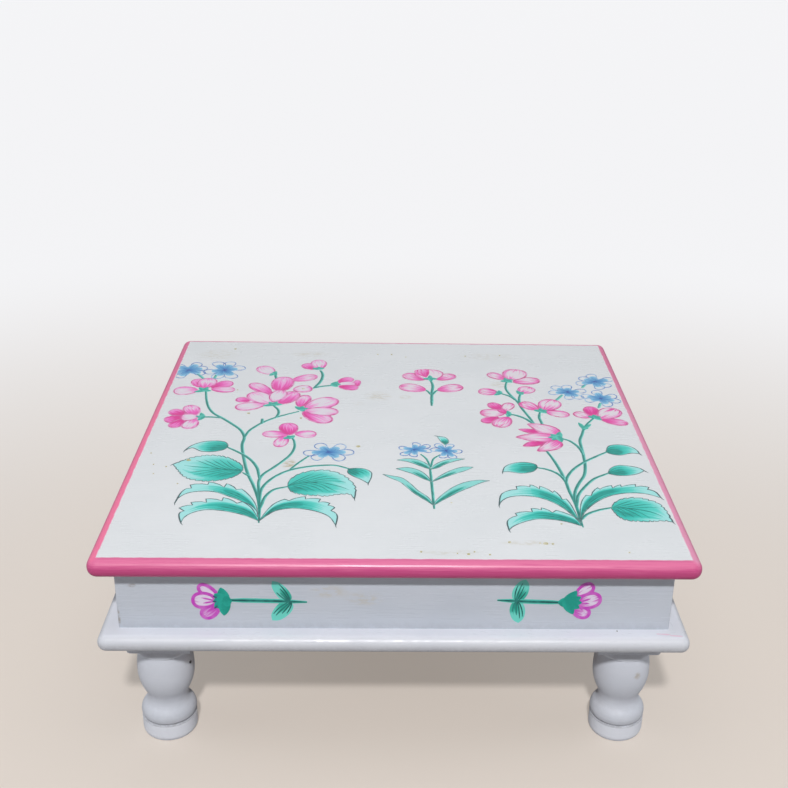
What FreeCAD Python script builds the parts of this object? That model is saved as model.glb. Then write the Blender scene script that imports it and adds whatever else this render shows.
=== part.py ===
import FreeCAD, Part
import os
import re
import Sketcher
from FreeCAD import Rotation, Vector

# A bajot, the low square table of South Asia: a bullnosed top on a shallow box of four boards, which
# stands on a wide mitred frame, two bearers and four short turned legs. Every piece is glued or nailed.
# Millimetres, +Z up. The origin is on the floor under the middle of the table, and the front faces -Y.

doc = FreeCAD.newDocument("bajot_table")

# Driving dimensions
SIZES = [
    ("top_width", 457),
    ("top_depth", 457),
    ("top_thickness", 15),
    ("top_corner_radius", 8),
    ("top_nose_flat", 1),
    ("top_overhang", 16.5),
    ("apron_height", 53),
    ("apron_thickness", 18),
    ("apron_lap", 6),
    ("apron_edge_radius", 1),
    ("frame_overhang", 15),
    ("frame_thickness", 14),
    ("frame_member_width", 60),
    ("frame_corner_radius", 7),
    ("frame_nose_flat", 1),
    ("block_side", 26),
    ("block_chamfer", 9),
    ("bearer_inset", 17.5),
    ("bearer_width", 50),
    ("bearer_thickness", 12),
    ("bearer_corner_radius", 4),
    ("leg_inset", 42.5),
    ("leg_height", 89),
    ("squared_width", 42),
    ("squared_corner_radius", 14.5),
    ("squared_height", 10),
    ("shoulder_radius", 24),
    ("shoulder_height", 6.5),
    ("neck_radius", 20.6),
    ("bulb_radius", 22.7),
    ("bulb_height", 60),
    ("bulb_curve_share", 0.7),
    ("waist_radius", 16.2),
    ("waist_height", 33),
    ("cove_share", 0.45),
    ("ring_radius", 22.2),
    ("ring_height", 20.5),
    ("ring_lip_radius", 21.6),
    ("foot_groove_height", 16),
    ("foot_groove_width", 2),
    ("foot_groove_depth", 1.6),
    ("foot_radius", 22),
    ("foot_edge_radius", 4.5),
    ("foot_sole_inset", 1.8),
    ("spigot_radius", 10),
    ("spigot_entry", 10),
    ("spigot_chamfer", 1.5),
    ("spigot_clearance", 0.1),
    ("nail_radius", 1.2),
    ("nail_head_radius", 2.3),
    ("nail_head_thickness", 1.2),
    ("nail_length", 38),
    ("nail_point_length", 4),
    ("nail_punch_depth", 2),
    ("nail_spacing", 150),
    ("nail_clearance", 0.1),
    ("leg_nail_radius", 1),
    ("leg_nail_length", 54),
    ("leg_nail_drop", 19),
    ("leg_nail_sink", 2.2),
    ("leg_nail_depth", 6),
    ("leg_nail_lean_angle", 40),
    ("leg_nail_side_angle", 22.5),
    ("screw_radius", 1.9),
    ("screw_head_radius", 3.9),
    ("screw_head_height", 2.4),
    ("screw_length", 22),
    ("screw_point_length", 4),
    ("screw_spacing", 120),
    ("screw_inset", 38),
    ("screw_clearance", 0.1),
    ("cut_overrun", 5),
]

# Sizes that follow from the driving ones
APRON_WIDTH = "(top_width - 2 * top_overhang)"
APRON_DEPTH = "(top_depth - 2 * top_overhang)"
FRAME_WIDTH = f"({APRON_WIDTH} + 2 * frame_overhang)"
FRAME_DEPTH = f"({APRON_DEPTH} + 2 * frame_overhang)"
FRAME_BASE = "(leg_height + bearer_thickness)"
APRON_BASE = f"({FRAME_BASE} + frame_thickness)"
TOP_BASE = f"({APRON_BASE} + apron_height)"
NAIL_LINE = "(frame_overhang + apron_thickness / 2)"

# One side of the square after another, each seen with its outer face towards the reader:
# name, turn about the vertical, and the middle of the side as shares of the width and the depth
SIDES = [
    ("front", 0, 0, -1),
    ("right", 90, 1, 0),
    ("back", 180, 0, 1),
    ("left", 270, -1, 0),
]
CORNERS = [
    ("front_left", -1, -1),
    ("front_right", 1, -1),
    ("back_left", -1, 1),
    ("back_right", 1, 1),
]

# Where the fasteners sit along a side, as shares of their spacing either way from the middle
TOP_NAIL_SHARES = (-1, 0, 1)
FRAME_NAIL_SHARES = (-0.5, 0.5)
SCREW_SHARES = (-1, 0, 1)

nodes = {}


def fill_sheet():
    """Writes every driving dimension into a cell of its own, under its name."""
    sheet = doc.addObject("Spreadsheet::Sheet", "Sizes")
    for row, (name, value) in enumerate(SIZES, start=1):
        sheet.set(f"A{row}", name)
        sheet.set(f"B{row}", str(value))
        sheet.setAlias(f"B{row}", name)
    doc.recompute()
    return sheet


sheet = fill_sheet()


def cells(formula):
    """Points each name in a formula at its cell. A name before a bracket is a function and stays."""
    return re.sub(r"\b[a-z]\w*\b(?!\()", r"Sizes.\g<0>", str(formula))


def value_of(formula):
    """The value of a formula at the present sizes."""
    return float(sheet.evalExpression(cells(formula)))


def bind(item, prop, formula):
    """Ties a property to a formula of driving dimensions."""
    item.setExpression(prop, cells(formula))


def place(item, across, back, up, turn=0):
    """Sets a piece down at a point given by formulas, turned about the vertical."""
    item.Placement = FreeCAD.Placement(Vector(), Rotation(Vector(0, 0, 1), turn))
    bind(item, ".Placement.Base.x", across)
    bind(item, ".Placement.Base.y", back)
    bind(item, ".Placement.Base.z", up)


def keep(item, name):
    """Names a finished sub-part and lists it for writing."""
    item.Label = name
    nodes[name] = item


def pin_down(sketch, geometry, point, place_2d):
    """Ties one end of a sketch element to its two formulas, measured from the sketch's origin."""
    for kind, formula, axis in (("DistanceX", place_2d[0], -2), ("DistanceY", place_2d[1], -1)):
        number = value_of(formula)
        if number == 0:
            sketch.addConstraint(Sketcher.Constraint("PointOnObject", geometry, point, axis))
        else:
            index = sketch.addConstraint(Sketcher.Constraint(kind, -1, 1, geometry, point, number))
            bind(sketch, f"Constraints[{index}]", formula)


def arc_between(start, end, rule):
    """The short arc between two points. The rule says which end the centre is level or plumb with."""
    kind, anchor = rule.split("_")
    near, far = (start, end) if anchor == "start" else (end, start)
    across, up = far.x - near.x, far.y - near.y
    reach = across * across + up * up
    if kind == "level":
        centre = Vector(near.x + reach / (2 * across), near.y, 0)
    else:
        centre = Vector(near.x, near.y + reach / (2 * up), 0)
    middle = (start + end) / 2 - centre
    crown = centre + middle.normalize() * centre.distanceToPoint(start)
    return Part.Arc(start, crown, end)


def end_points(sketch, index, begin):
    """Which ends of a sketch element the outline enters and leaves by: an arc may run backwards."""
    first = sketch.getPoint(index, 1)
    second = sketch.getPoint(index, 2)
    return (1, 2) if first.distanceToPoint(begin) < second.distanceToPoint(begin) else (2, 1)


def outline_sketch(body, name, plane, outline):
    """Draws a closed outline of lines and arcs on one of the body's origin planes.

    Each entry is a corner's two formulas and, for an arc that ends there, its rule.
    """
    sketch = body.newObject("Sketcher::SketchObject", name)
    origin_plane = next(item for item in body.Origin.OriginFeatures if item.Role == plane)
    sketch.AttachmentSupport = (origin_plane, [""])
    sketch.MapMode = "FlatFace"
    points = [Vector(value_of(entry[0]), value_of(entry[1]), 0) for entry in outline]
    for number, entry in enumerate(outline):
        start, end = points[number - 1], points[number]
        if len(entry) == 3:
            sketch.addGeometry(arc_between(start, end, entry[2]))
        else:
            sketch.addGeometry(Part.LineSegment(start, end))
    for number, entry in enumerate(outline):
        follower = (number + 1) % len(outline)
        begin, finish = end_points(sketch, number, points[number - 1])
        follower_begin = end_points(sketch, follower, points[number])[0]
        sketch.addConstraint(Sketcher.Constraint("Coincident", number, finish, follower, follower_begin))
        pin_down(sketch, number, finish, entry)
        if len(entry) == 3:
            kind, anchor = entry[2].split("_")
            straight = "Horizontal" if kind == "level" else "Vertical"
            end = begin if anchor == "start" else finish
            sketch.addConstraint(Sketcher.Constraint(straight, number, 3, number, end))
    return sketch


def new_body(name):
    """Starts the body of one piece."""
    return doc.addObject("PartDesign::Body", name)


def pad(body, outline, thickness, up="0"):
    """Pads an outline seen from above, from a height in the body's own frame."""
    sketch = outline_sketch(body, f"{body.Name}_plan", "XY_Plane", outline)
    bind(sketch, ".AttachmentOffset.Base.z", up)
    feature = body.newObject("PartDesign::Pad", f"{body.Name}_pad")
    feature.Profile = sketch
    bind(feature, "Length", thickness)
    body.Tip = feature
    doc.recompute()
    return feature


def revolve(body, kind, name, outline):
    """Turns an outline of radius and height about the body's vertical axis."""
    sketch = outline_sketch(body, f"{body.Name}_{name}", "XZ_Plane", outline)
    feature = body.newObject(f"PartDesign::{kind}", f"{body.Name}_{name}_turned")
    feature.Profile = sketch
    feature.ReferenceAxis = (sketch, ["V_Axis"])
    body.Tip = feature
    doc.recompute()
    return feature


def is_upright(edge):
    """True for an edge that runs mostly up and down."""
    return edge.BoundBox.ZLength > edge.Length / 2


def round_edges(body, wanted, radius):
    """Rounds the edges of the body's last feature that a test picks."""
    last = body.Tip
    names = [f"Edge{number}" for number, edge in enumerate(last.Shape.Edges, start=1) if wanted(edge)]
    feature = body.newObject("PartDesign::Fillet", f"{last.Name}_rounded")
    feature.Base = (last, names)
    bind(feature, "Radius", radius)
    body.Tip = feature
    doc.recompute()
    return feature


def copy_of(original, name, spot, rotation):
    """A linked copy of a fastener or a bore, at three formulas, turned as given."""
    link = doc.addObject("App::Link", name)
    link.LinkedObject = original
    link.Placement = FreeCAD.Placement(Vector(), rotation)
    for axis, formula in zip("xyz", spot):
        bind(link, f".Placement.Base.{axis}", formula)
    return link


def copies(original, name, spots, rotation):
    """Linked copies of a fastener or a bore, one for each spot."""
    return [copy_of(original, f"{name}_{number}", spot, rotation) for number, spot in enumerate(spots, start=1)]


def group(items, name):
    """Gathers separate solids under one name."""
    compound = doc.addObject("Part::Compound", name)
    compound.Links = items
    return compound


def cut(item, tools, name):
    """Cuts a group of bores out of a piece."""
    result = doc.addObject("Part::Cut", name)
    result.Base = item
    result.Tool = tools
    return result


def side_spots(shares, up):
    """Points along the nail line of all four sides, at shares of the nail spacing, at one height."""
    spots = []
    for _, _, across, back in SIDES:
        for share in shares:
            along = f"{share} * nail_spacing"
            edge_x = f"{across} * ({FRAME_WIDTH} / 2 - {NAIL_LINE})"
            edge_y = f"{back} * ({FRAME_DEPTH} / 2 - {NAIL_LINE})"
            spots.append((edge_x if across else along, edge_y if back else along, up))
    return spots


def nail_outline(clearance):
    """Half the section of a round nail, head first at height zero, or of the bore for it."""
    return [
        ("0", "0"),
        (f"nail_head_radius + {clearance}", "0"),
        (f"nail_head_radius + {clearance}", f"nail_head_thickness + {clearance}"),
        (f"nail_radius + {clearance}", f"nail_head_thickness + {clearance}"),
        (f"nail_radius + {clearance}", f"nail_length - nail_point_length + {clearance}"),
        ("0", f"nail_length + {clearance}"),
    ]


def screw_outline(clearance):
    """Half the section of a countersunk screw without its thread, or of the bore for it."""
    return [
        ("0", "0"),
        (f"screw_head_radius + {clearance}", "0"),
        (f"screw_radius + {clearance}", f"screw_head_height + {clearance}"),
        (f"screw_radius + {clearance}", f"screw_length - screw_point_length + {clearance}"),
        ("0", f"screw_length + {clearance}"),
    ]


def leg_nail_outline(clearance, mouth):
    """Half the section of a headless nail, or of its bore, which opens through the leg's surface."""
    return [
        ("0", f"-1 * {mouth}"),
        (f"leg_nail_radius + {clearance}", f"-1 * {mouth}"),
        (f"leg_nail_radius + {clearance}", f"leg_nail_length - nail_point_length + {clearance}"),
        ("0", f"leg_nail_length + {clearance}"),
    ]


def turned_body(name, outline):
    """A body that is one outline turned about the vertical."""
    body = new_body(name)
    revolve(body, "Revolution", "section", outline)
    return body


def build_fasteners():
    """Makes the nails and screws, and the bores that let them in."""
    up = Rotation()
    down = Rotation(Vector(1, 0, 0), 180)
    nail = turned_body("nail", nail_outline("0"))
    nail_bore = turned_body("nail_bore", nail_outline("nail_clearance"))
    screw = turned_body("screw", screw_outline("0"))
    screw_bore = turned_body("screw_bore", screw_outline("screw_clearance"))
    leg_nail = turned_body("leg_nail", leg_nail_outline("0", "0"))
    leg_nail_bore = turned_body("leg_nail_bore", leg_nail_outline("nail_clearance", "leg_nail_depth"))
    top_spots = side_spots(TOP_NAIL_SHARES, f"{TOP_BASE} + top_thickness - nail_punch_depth")
    frame_spots = side_spots(FRAME_NAIL_SHARES, FRAME_BASE)
    screw_spots = []
    for across in (-1, 1):
        for share in SCREW_SHARES:
            edge = f"{across} * ({FRAME_WIDTH} / 2 - screw_inset)"
            screw_spots.append((edge, f"{share} * screw_spacing", "leg_height"))
    lean = Rotation(Vector(0, 1, 0), -value_of("leg_nail_lean_angle"))
    swing = Rotation(Vector(0, 0, 1), -value_of("leg_nail_side_angle"))
    tilt = swing.multiply(lean)
    reach = "(bulb_radius - leg_nail_sink)"
    out = f"{reach} * cos(leg_nail_side_angle)"
    forward = f"{reach} * sin(leg_nail_side_angle)"
    leg_spots = []
    for _, across, back in CORNERS:
        spot = (f"{leg_x(across)} + {out}", f"{leg_y(back)} - {forward}", "leg_height - leg_nail_drop")
        leg_spots.append(spot)
    keep(group(copies(nail, "top_nail", top_spots, down), "top_nails"), "top_nails")
    keep(group(copies(nail, "frame_nail", frame_spots, up), "frame_nails"), "frame_nails")
    keep(group(copies(screw, "bearer_screw", screw_spots, up), "bearer_screws"), "bearer_screws")
    keep(group(copies(leg_nail, "slant_nail", leg_spots, tilt), "leg_nails"), "leg_nails")
    bores = {
        "top": copies(nail_bore, "top_bore", top_spots, down),
        "frame": copies(nail_bore, "frame_bore", frame_spots, up),
        "screw": copies(screw_bore, "screw_hole", screw_spots, up),
        "leg": copies(leg_nail_bore, "leg_bore", leg_spots, tilt),
        "spigot": [],
    }
    for corner, across, back in CORNERS:
        bore = doc.addObject("Part::Cylinder", f"spigot_bore_{corner}")
        bind(bore, "Radius", "spigot_radius + spigot_clearance")
        bind(bore, "Height", "cut_overrun + bearer_thickness + spigot_entry + spigot_clearance")
        place(bore, leg_x(across), leg_y(back), "leg_height - cut_overrun")
        bores["spigot"].append(bore)
    return bores


def leg_x(across):
    """How far to the right of the middle a leg's axis stands."""
    return f"{across} * ({FRAME_WIDTH} / 2 - leg_inset)"


def leg_y(back):
    """How far behind the middle a leg's axis stands."""
    return f"{back} * ({FRAME_DEPTH} / 2 - leg_inset)"


def build_top(bores):
    """The top board, rounded in plan and with a full bullnose all round."""
    body = new_body("top_board")
    outline = [
        ("top_width / 2", "-top_depth / 2"),
        ("top_width / 2", "top_depth / 2"),
        ("-top_width / 2", "top_depth / 2"),
        ("-top_width / 2", "-top_depth / 2"),
    ]
    pad(body, outline, "top_thickness")
    round_edges(body, is_upright, "top_corner_radius")
    round_edges(body, lambda edge: not is_upright(edge), "(top_thickness - top_nose_flat) / 2")
    place(body, "0", "0", TOP_BASE)
    keep(cut(body, group(bores["top"], "top_bores"), "top_drilled"), "top_panel")


def build_apron(bores):
    """The four boards of the box. Front and back lap over the ends of the side boards."""
    bore_group = group(bores["top"] + bores["frame"], "apron_bores")
    for side, turn, across, back in SIDES:
        body = new_body(f"apron_board_{side}")
        if back:
            half = f"{APRON_WIDTH} / 2"
            outline = [
                (half, "0"),
                (half, "apron_lap"),
                (f"{half} - apron_thickness", "apron_lap"),
                (f"{half} - apron_thickness", "apron_thickness"),
                (f"-{half} + apron_thickness", "apron_thickness"),
                (f"-{half} + apron_thickness", "apron_lap"),
                (f"-{half}", "apron_lap"),
                (f"-{half}", "0"),
            ]
        else:
            half = f"({APRON_DEPTH} / 2 - apron_lap)"
            outline = [
                (half, "0"),
                (half, "apron_thickness"),
                (f"-{half}", "apron_thickness"),
                (f"-{half}", "0"),
            ]
        pad(body, outline, "apron_height")
        if back:
            reach = value_of("apron_lap / 2")
            round_edges(body, lambda edge: is_upright(edge) and edge.CenterOfMass.y < reach, "apron_edge_radius")
        place(body, f"{across} * {APRON_WIDTH} / 2", f"{back} * {APRON_DEPTH} / 2", APRON_BASE, turn)
        keep(cut(body, bore_group, f"apron_drilled_{side}"), f"apron_{side}")


def build_corner_blocks():
    """Glue blocks in the inner corners of the box, between the frame and the top."""
    turns = {"front_left": 0, "front_right": 90, "back_right": 180, "back_left": 270}
    outline = [
        ("block_side", "0"),
        ("block_side", "block_side - block_chamfer"),
        ("block_side - block_chamfer", "block_side"),
        ("0", "block_side"),
        ("0", "0"),
    ]
    for corner, across, back in CORNERS:
        body = new_body(f"block_{corner}")
        pad(body, outline, "apron_height")
        corner_x = f"{across} * ({APRON_WIDTH} / 2 - apron_thickness)"
        corner_y = f"{back} * ({APRON_DEPTH} / 2 - apron_thickness)"
        place(body, corner_x, corner_y, APRON_BASE, turns[corner])
        keep(body, f"corner_block_{corner}")


def build_frame(bores):
    """The base frame: four mouldings with a rounded outer edge, mitred at the corners."""
    bore_group = group(bores["frame"] + bores["screw"] + bores["spigot"] + bores["leg"], "frame_bores")
    corner = "frame_corner_radius"
    turned_in = "frame_corner_radius * (1 - sqrt(0.5))"
    for side, turn, across, back in SIDES:
        body = new_body(f"frame_moulding_{side}")
        half = f"{FRAME_WIDTH} / 2" if back else f"{FRAME_DEPTH} / 2"
        outline = [
            (f"{half} - {corner}", "0"),
            (f"{half} - {turned_in}", turned_in, "plumb_start"),
            (f"{half} - frame_member_width", "frame_member_width"),
            (f"-{half} + frame_member_width", "frame_member_width"),
            (f"-{half} + {turned_in}", turned_in),
            (f"-{half} + {corner}", "0", "plumb_end"),
        ]
        pad(body, outline, "frame_thickness")
        reach = value_of(turned_in)
        nose = "(frame_thickness - frame_nose_flat) / 2"
        round_edges(body, lambda edge: not is_upright(edge) and edge.CenterOfMass.y < reach, nose)
        place(body, f"{across} * {FRAME_WIDTH} / 2", f"{back} * {FRAME_DEPTH} / 2", FRAME_BASE, turn)
        keep(cut(body, bore_group, f"frame_drilled_{side}"), f"frame_{side}")


def build_bearers(bores):
    """Flat battens that run front to back under the frame and carry the legs."""
    bore_group = group(bores["screw"] + bores["spigot"] + bores["leg"], "bearer_bores")
    half = f"({FRAME_DEPTH} / 2 - bearer_inset)"
    outline = [
        (f"{half} - bearer_corner_radius", "0"),
        (half, "bearer_corner_radius", "plumb_start"),
        (half, "bearer_width"),
        (f"-{half}", "bearer_width"),
        (f"-{half}", "bearer_corner_radius"),
        (f"-{half} + bearer_corner_radius", "0", "plumb_end"),
    ]
    for side, turn, across, back in SIDES:
        if across:
            body = new_body(f"batten_{side}")
            pad(body, outline, "bearer_thickness")
            place(body, f"{across} * ({FRAME_WIDTH} / 2 - bearer_inset)", "0", "leg_height", turn)
            keep(cut(body, bore_group, f"bearer_drilled_{side}"), f"bearer_{side}")


def ogee(start, end, share):
    """Two arcs that meet smoothly and stand upright at both ends, as a turner's sweep does."""
    radius = f"({start[0]} + {share} * ({end[0]} - {start[0]}))"
    height = f"({start[1]} + {share} * ({end[1]} - {start[1]}))"
    return [(radius, height, "level_start"), (end[0], end[1], "level_end")]


def leg_outline():
    """Half the section of the turned leg: foot, groove, ring, waist, bulb, neck and spigot."""
    neck = "(leg_height - squared_height)"
    spigot_top = "(leg_height + bearer_thickness + spigot_entry)"
    ring = ("ring_radius", "ring_height")
    waist = ("waist_radius", "waist_height")
    bulb = ("bulb_radius", "bulb_height")
    return [
        ("0", "0"),
        ("foot_radius - foot_sole_inset", "0"),
        ("foot_radius", "foot_edge_radius", "level_end"),
        ("foot_radius", "foot_groove_height - foot_groove_width / 2"),
        ("foot_radius - foot_groove_depth", "foot_groove_height"),
        ("ring_lip_radius", "foot_groove_height + foot_groove_width / 2"),
        (ring[0], ring[1], "level_end"),
        *ogee(ring, waist, "(1 - cove_share)"),
        *ogee(waist, bulb, "(1 - bulb_curve_share)"),
        ("neck_radius", neck, "level_start"),
        ("spigot_radius", neck),
        ("spigot_radius", f"{spigot_top} - spigot_chamfer"),
        ("spigot_radius - spigot_chamfer", spigot_top),
        ("0", spigot_top),
    ]


def shoulder_outline():
    """The waste outside the scalloped shoulder, where the squared top turns into the round."""
    neck = "(leg_height - squared_height)"
    crest = f"({neck} + shoulder_height)"
    return [
        ("squared_width", neck),
        ("squared_width", crest),
        ("shoulder_radius", crest),
        ("neck_radius", neck, "level_start"),
    ]


def squared_outline():
    """The squared top of the leg from above, its corners well rounded."""
    half = "squared_width / 2"
    short = "(squared_width / 2 - squared_corner_radius)"
    return [
        (short, f"-{half}"),
        (half, f"-{short}", "plumb_start"),
        (half, short),
        (short, half, "level_start"),
        (f"-{short}", half),
        (f"-{half}", short, "plumb_start"),
        (f"-{half}", f"-{short}"),
        (f"-{short}", f"-{half}", "level_start"),
    ]


def build_legs(bores):
    """Four turned legs, each in one piece with its squared top and its spigot."""
    for number, (corner, across, back) in enumerate(CORNERS):
        body = new_body(f"turned_leg_{corner}")
        pad(body, squared_outline(), "squared_height", "leg_height - squared_height")
        before = body.Shape.Volume
        revolve(body, "Groove", "shoulder", shoulder_outline())
        if not body.Shape.Volume < before:
            raise RuntimeError(f"the shoulder of {corner} cuts nothing")
        revolve(body, "Revolution", "turning", leg_outline())
        place(body, leg_x(across), leg_y(back), "0")
        keep(cut(body, bores["leg"][number], f"leg_drilled_{corner}"), f"leg_{corner}")


def check_and_write():
    """Stops on any failed object or bad shape, then writes each sub-part under its name."""
    doc.recompute()
    for item in doc.Objects:
        if "Invalid" in item.State or "Error" in item.State:
            raise RuntimeError(f"{item.Name} did not compute: {item.State}")
    for name, item in nodes.items():
        if item.Shape.isNull() or not item.Shape.isValid() or not item.Shape.Solids:
            raise RuntimeError(f"{name} has no valid shape")
    os.makedirs("parts", exist_ok=True)
    for name, item in nodes.items():
        item.Shape.exportStep(f"parts/{name}.step")
        print(name, len(item.Shape.Solids), round(item.Shape.Volume))


bores = build_fasteners()
build_top(bores)
build_apron(bores)
build_corner_blocks()
build_frame(bores)
build_bearers(bores)
build_legs(bores)
check_and_write()
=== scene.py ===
import math
from functools import partialmethod

import bmesh
import bpy
import numpy as np
from mathutils import Matrix, Vector


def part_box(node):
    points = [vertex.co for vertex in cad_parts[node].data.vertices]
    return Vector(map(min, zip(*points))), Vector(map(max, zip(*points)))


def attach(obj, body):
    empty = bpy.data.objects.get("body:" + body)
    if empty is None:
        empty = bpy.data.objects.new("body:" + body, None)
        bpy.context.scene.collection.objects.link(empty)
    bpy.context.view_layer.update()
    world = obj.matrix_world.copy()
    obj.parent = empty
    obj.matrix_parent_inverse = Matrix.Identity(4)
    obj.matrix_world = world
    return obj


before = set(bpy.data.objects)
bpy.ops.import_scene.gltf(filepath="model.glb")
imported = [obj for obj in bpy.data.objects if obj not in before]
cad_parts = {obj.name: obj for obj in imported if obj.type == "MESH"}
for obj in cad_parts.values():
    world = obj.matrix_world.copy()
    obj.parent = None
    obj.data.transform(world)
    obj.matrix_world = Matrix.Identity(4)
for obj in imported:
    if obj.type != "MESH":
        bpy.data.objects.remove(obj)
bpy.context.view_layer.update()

# A bajot: a low white table with a pink edge, painted on top with two flowering sprays, a sprig and a
# small blue plant, and on the front board with two more sprigs. Paint is laid on as thin films of its
# own, so that every leaf, petal and line has a crisp edge. Their places are in millimetres, and colours
# are given as they look: red, green and blue from 0 to 255.
MM = 0.001

# The faces that carry paint, read from the frame
TOP_LOW, TOP_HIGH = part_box("top_panel")
APRON_LOW, APRON_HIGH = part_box("apron_front")
FRAME_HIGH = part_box("frame_front")[1]

# How far in from the top's edge the pink border reaches, and the top's own rounding, in plan and in
# section
BORDER = 8.2
CORNER = 8
NOSE = 7

# Heights in metres between which painted shade lies on a leg: in the groove, on the ring above it, round the
# neck
GROOVE = (0.0152, 0.0172)
RING = (0.0185, 0.029)
NECK = (0.0835, 0.086)

# The heights between which the painted light on a foot fades out, and how far from the table's middle
# the paint gives way to bare wood
FOOT_LIGHT_FADE = (0.0165, 0.0145)
BARE_WITHIN = (0.2, 0.1985)

# The camera, worked out from the table's own edges in the photograph
PHOTO_SIDE = 788
FOCAL_LENGTH_PIXELS = 1166.8
CENTRE_PIXEL = (416.2, 408.3)
CAMERA_PLACE = (-0.0079, -0.9627, 0.6393)
CAMERA_YAW = -1.57
CAMERA_PITCH = 24.23
CAMERA_ROLL = 1.13
SENSOR_WIDTH = 36

# How bright the surroundings are as light, in reflections and to the camera, and the colour of lamps
FILL, SHINE, BACKDROP = 0.08, 0.52, 0.9
WARM, COOL = (1, 0.985, 0.97), (0.97, 0.99, 1)

# How far paint stands on the wood and reaches into it, and how much higher each further layer lies.
# Sheets of one layer may cross, so each lies a hair higher than the last few. Each has a seed of its own.
PAINT_DEPTH = 0.05
LAYER = 0.025
HAIR = 0.002
HAIRS = 12
SEED_STEP = 1.7

# The layers, from the wood up
LEAF, STEM, VEIN, EDGE, PETAL, HEART, DAB, SEPAL, NOTCH, SPECK = 0, 1, 2, 3, 4, 8, 12, 13, 15, 16

# How many points a smooth line has from one of its places to the next, a leaf along it and across it,
# and the line round a petal
SPAN_POINTS, LEAF_POINTS, LEAF_ROWS, OUTLINE_POINTS = 8, 41, 7, 33

# Over what share of a stroke the brush is set down, and then lifted at its end
SET_DOWN, LIFTED = 0.15, 0.25

# How far the line round a leaf's tip is drawn out past it
TAIL = 4

# Each white paint with the tone it is mottled with, and the other colours: the table's own, and those of
# painted light and painted shade
TOP_WHITE = ((229, 232, 236), (222, 226, 230))
# The boards' white is darker than the top's, in part as painted shade on their upright faces
BOARD_WHITE_SHADED = ((206, 213, 224), (197, 205, 217))
FRAME_WHITE = ((219, 222, 230), (210, 214, 223))
LEG_WHITE = ((217, 221, 231), (207, 212, 223))
# A whiter tone mixed in as painted light, on the frame's ledge and on the feet
PAINTED_LIGHT_WHITE = (238, 242, 252)
# The pink from the nose's underside up to its flat: darker below as painted shade, lighter above as painted
# light
PINKS_SHADED_TO_LIT = ((192, 66, 122), (202, 80, 136), (220, 112, 156))
PINK_LEFT, PINK_RIGHT = (244, 120, 162), (230, 150, 184)
# A grey mixed in as painted shade: in the legs' grooves, on the frame's face and along the boards' foot and
# head
PAINTED_SHADE_GREY = (96, 94, 96)
STAIN = (194, 184, 158)

# Stains, and a few marks of painted shade: place and size along the three axes, how strong and what colour
TOP_STAINS = [((x, y, TOP_HIGH.z / MM), (wide, deep, 5), strength, STAIN)
              for x, y, wide, deep, strength in [
    (-16.5, 79, 16, 14, 0.6), (-35, 61, 9, 7, 0.2), (9.8, 76.8, 8, 7, 0.5), (-91.8, -67, 8, 11, 1.3),
    (-186, 184, 26, 20, 0.35), (100, 185, 40, 16, 0.2), (-90, 188, 24, 10, 0.4), (105, 110, 14, 10, 0.5),
    (40, -212, 34, 6, 0.3), (100, -197, 26, 5, 0.4)]]
APRON_STAINS_AND_SHADE = [((x, APRON_LOW.y / MM, z), (wide, 5, high), strength, tone)
                for x, z, wide, high, strength, tone in [
    (-50, 148, 19, 8, 0.4, STAIN), (-24, 142, 18, 9, 0.4, STAIN), (-199, 153, 4.4, 2.2, 0.8, (120, 96, 72)),
    # A thin dark line down the front board's left corner: painted shade at the corner
    (-211.2, 124, 1.8, 11, 0.7, (138, 124, 108))]]
LEG_STAINS_AND_HOLE_SHADE = [((193.7, -205.2, 65.5), (4.6, 5, 4.6), 0.6, (178, 168, 150)),
              # A dark grey blot round the nail hole in the left front leg: painted shade in the hole
              ((-162.6, -191.5, 68.2), (2.3, 2.3, 1.9), 4, (70, 68, 70))]

# Specks on the top: how far across and back, and size
SPECKS = [
    (18.5, -211, 1.6), (45.7, -213, 1.1), (53.8, -214, 1.8), (58.6, -210.6, 1.3), (70.1, -214.5, 1.3),
    (175.3, -210.4, 1.4), (86, -196.5, 2), (109.5, -197.4, 1.4), (114, -198, 3), (119, -198.6, 1.8),
    (129.5, -168, 1.3), (45, -134.7, 1.2), (-178.5, -62, 3), (-33.7, -32.8, 3), (-88, 26, 1.8),
    (-212.6, -49, 1), (-206.5, -70.6, 1), (-195.3, -74.5, 1.3), (-203.7, -87.7, 0.9), (-180.5, -105.2, 1.3),
    (-154.6, 90.9, 1.4), (11.4, 181.9, 1.2), (-18, 188.9, 1.3), (-137.4, 36, 2.2), (-90.7, 95, 2.4),
    (74.4, 186, 1.6), (-3.5, 189, 1.6), (111, 189, 1.4), (-170, 200.6, 2.2),
]

# How fine brush marks and the wood's grain are to the metre along each axis
TOP_BRUSH, BOARD_BRUSH, SIDE_BOARD_BRUSH = (22, 700, 300), (25, 700, 700), (700, 25, 700)
FRAME_BRUSH, BACK_BRUSH, LEG_BRUSH = (110, 600, 600), (600, 110, 600), (60, 60, 700)
GRAIN_ACROSS, GRAIN_BACK, GRAIN_UP = (6, 90, 90), (90, 6, 90), (90, 90, 6)


def paint(red, green, blue):
    """A colour given as it looks, 0 to 255, in the linear values that a shader takes."""
    shares = [value / 255 for value in (red, green, blue)]
    linear = [s / 12.92 if s <= 0.04045 else ((s + 0.055) / 1.055) ** 2.4 for s in shares]
    return (*linear, 1)


def new_object(name, data):
    made = bpy.data.objects.new(name, data)
    bpy.context.scene.collection.objects.link(made)
    return made


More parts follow.
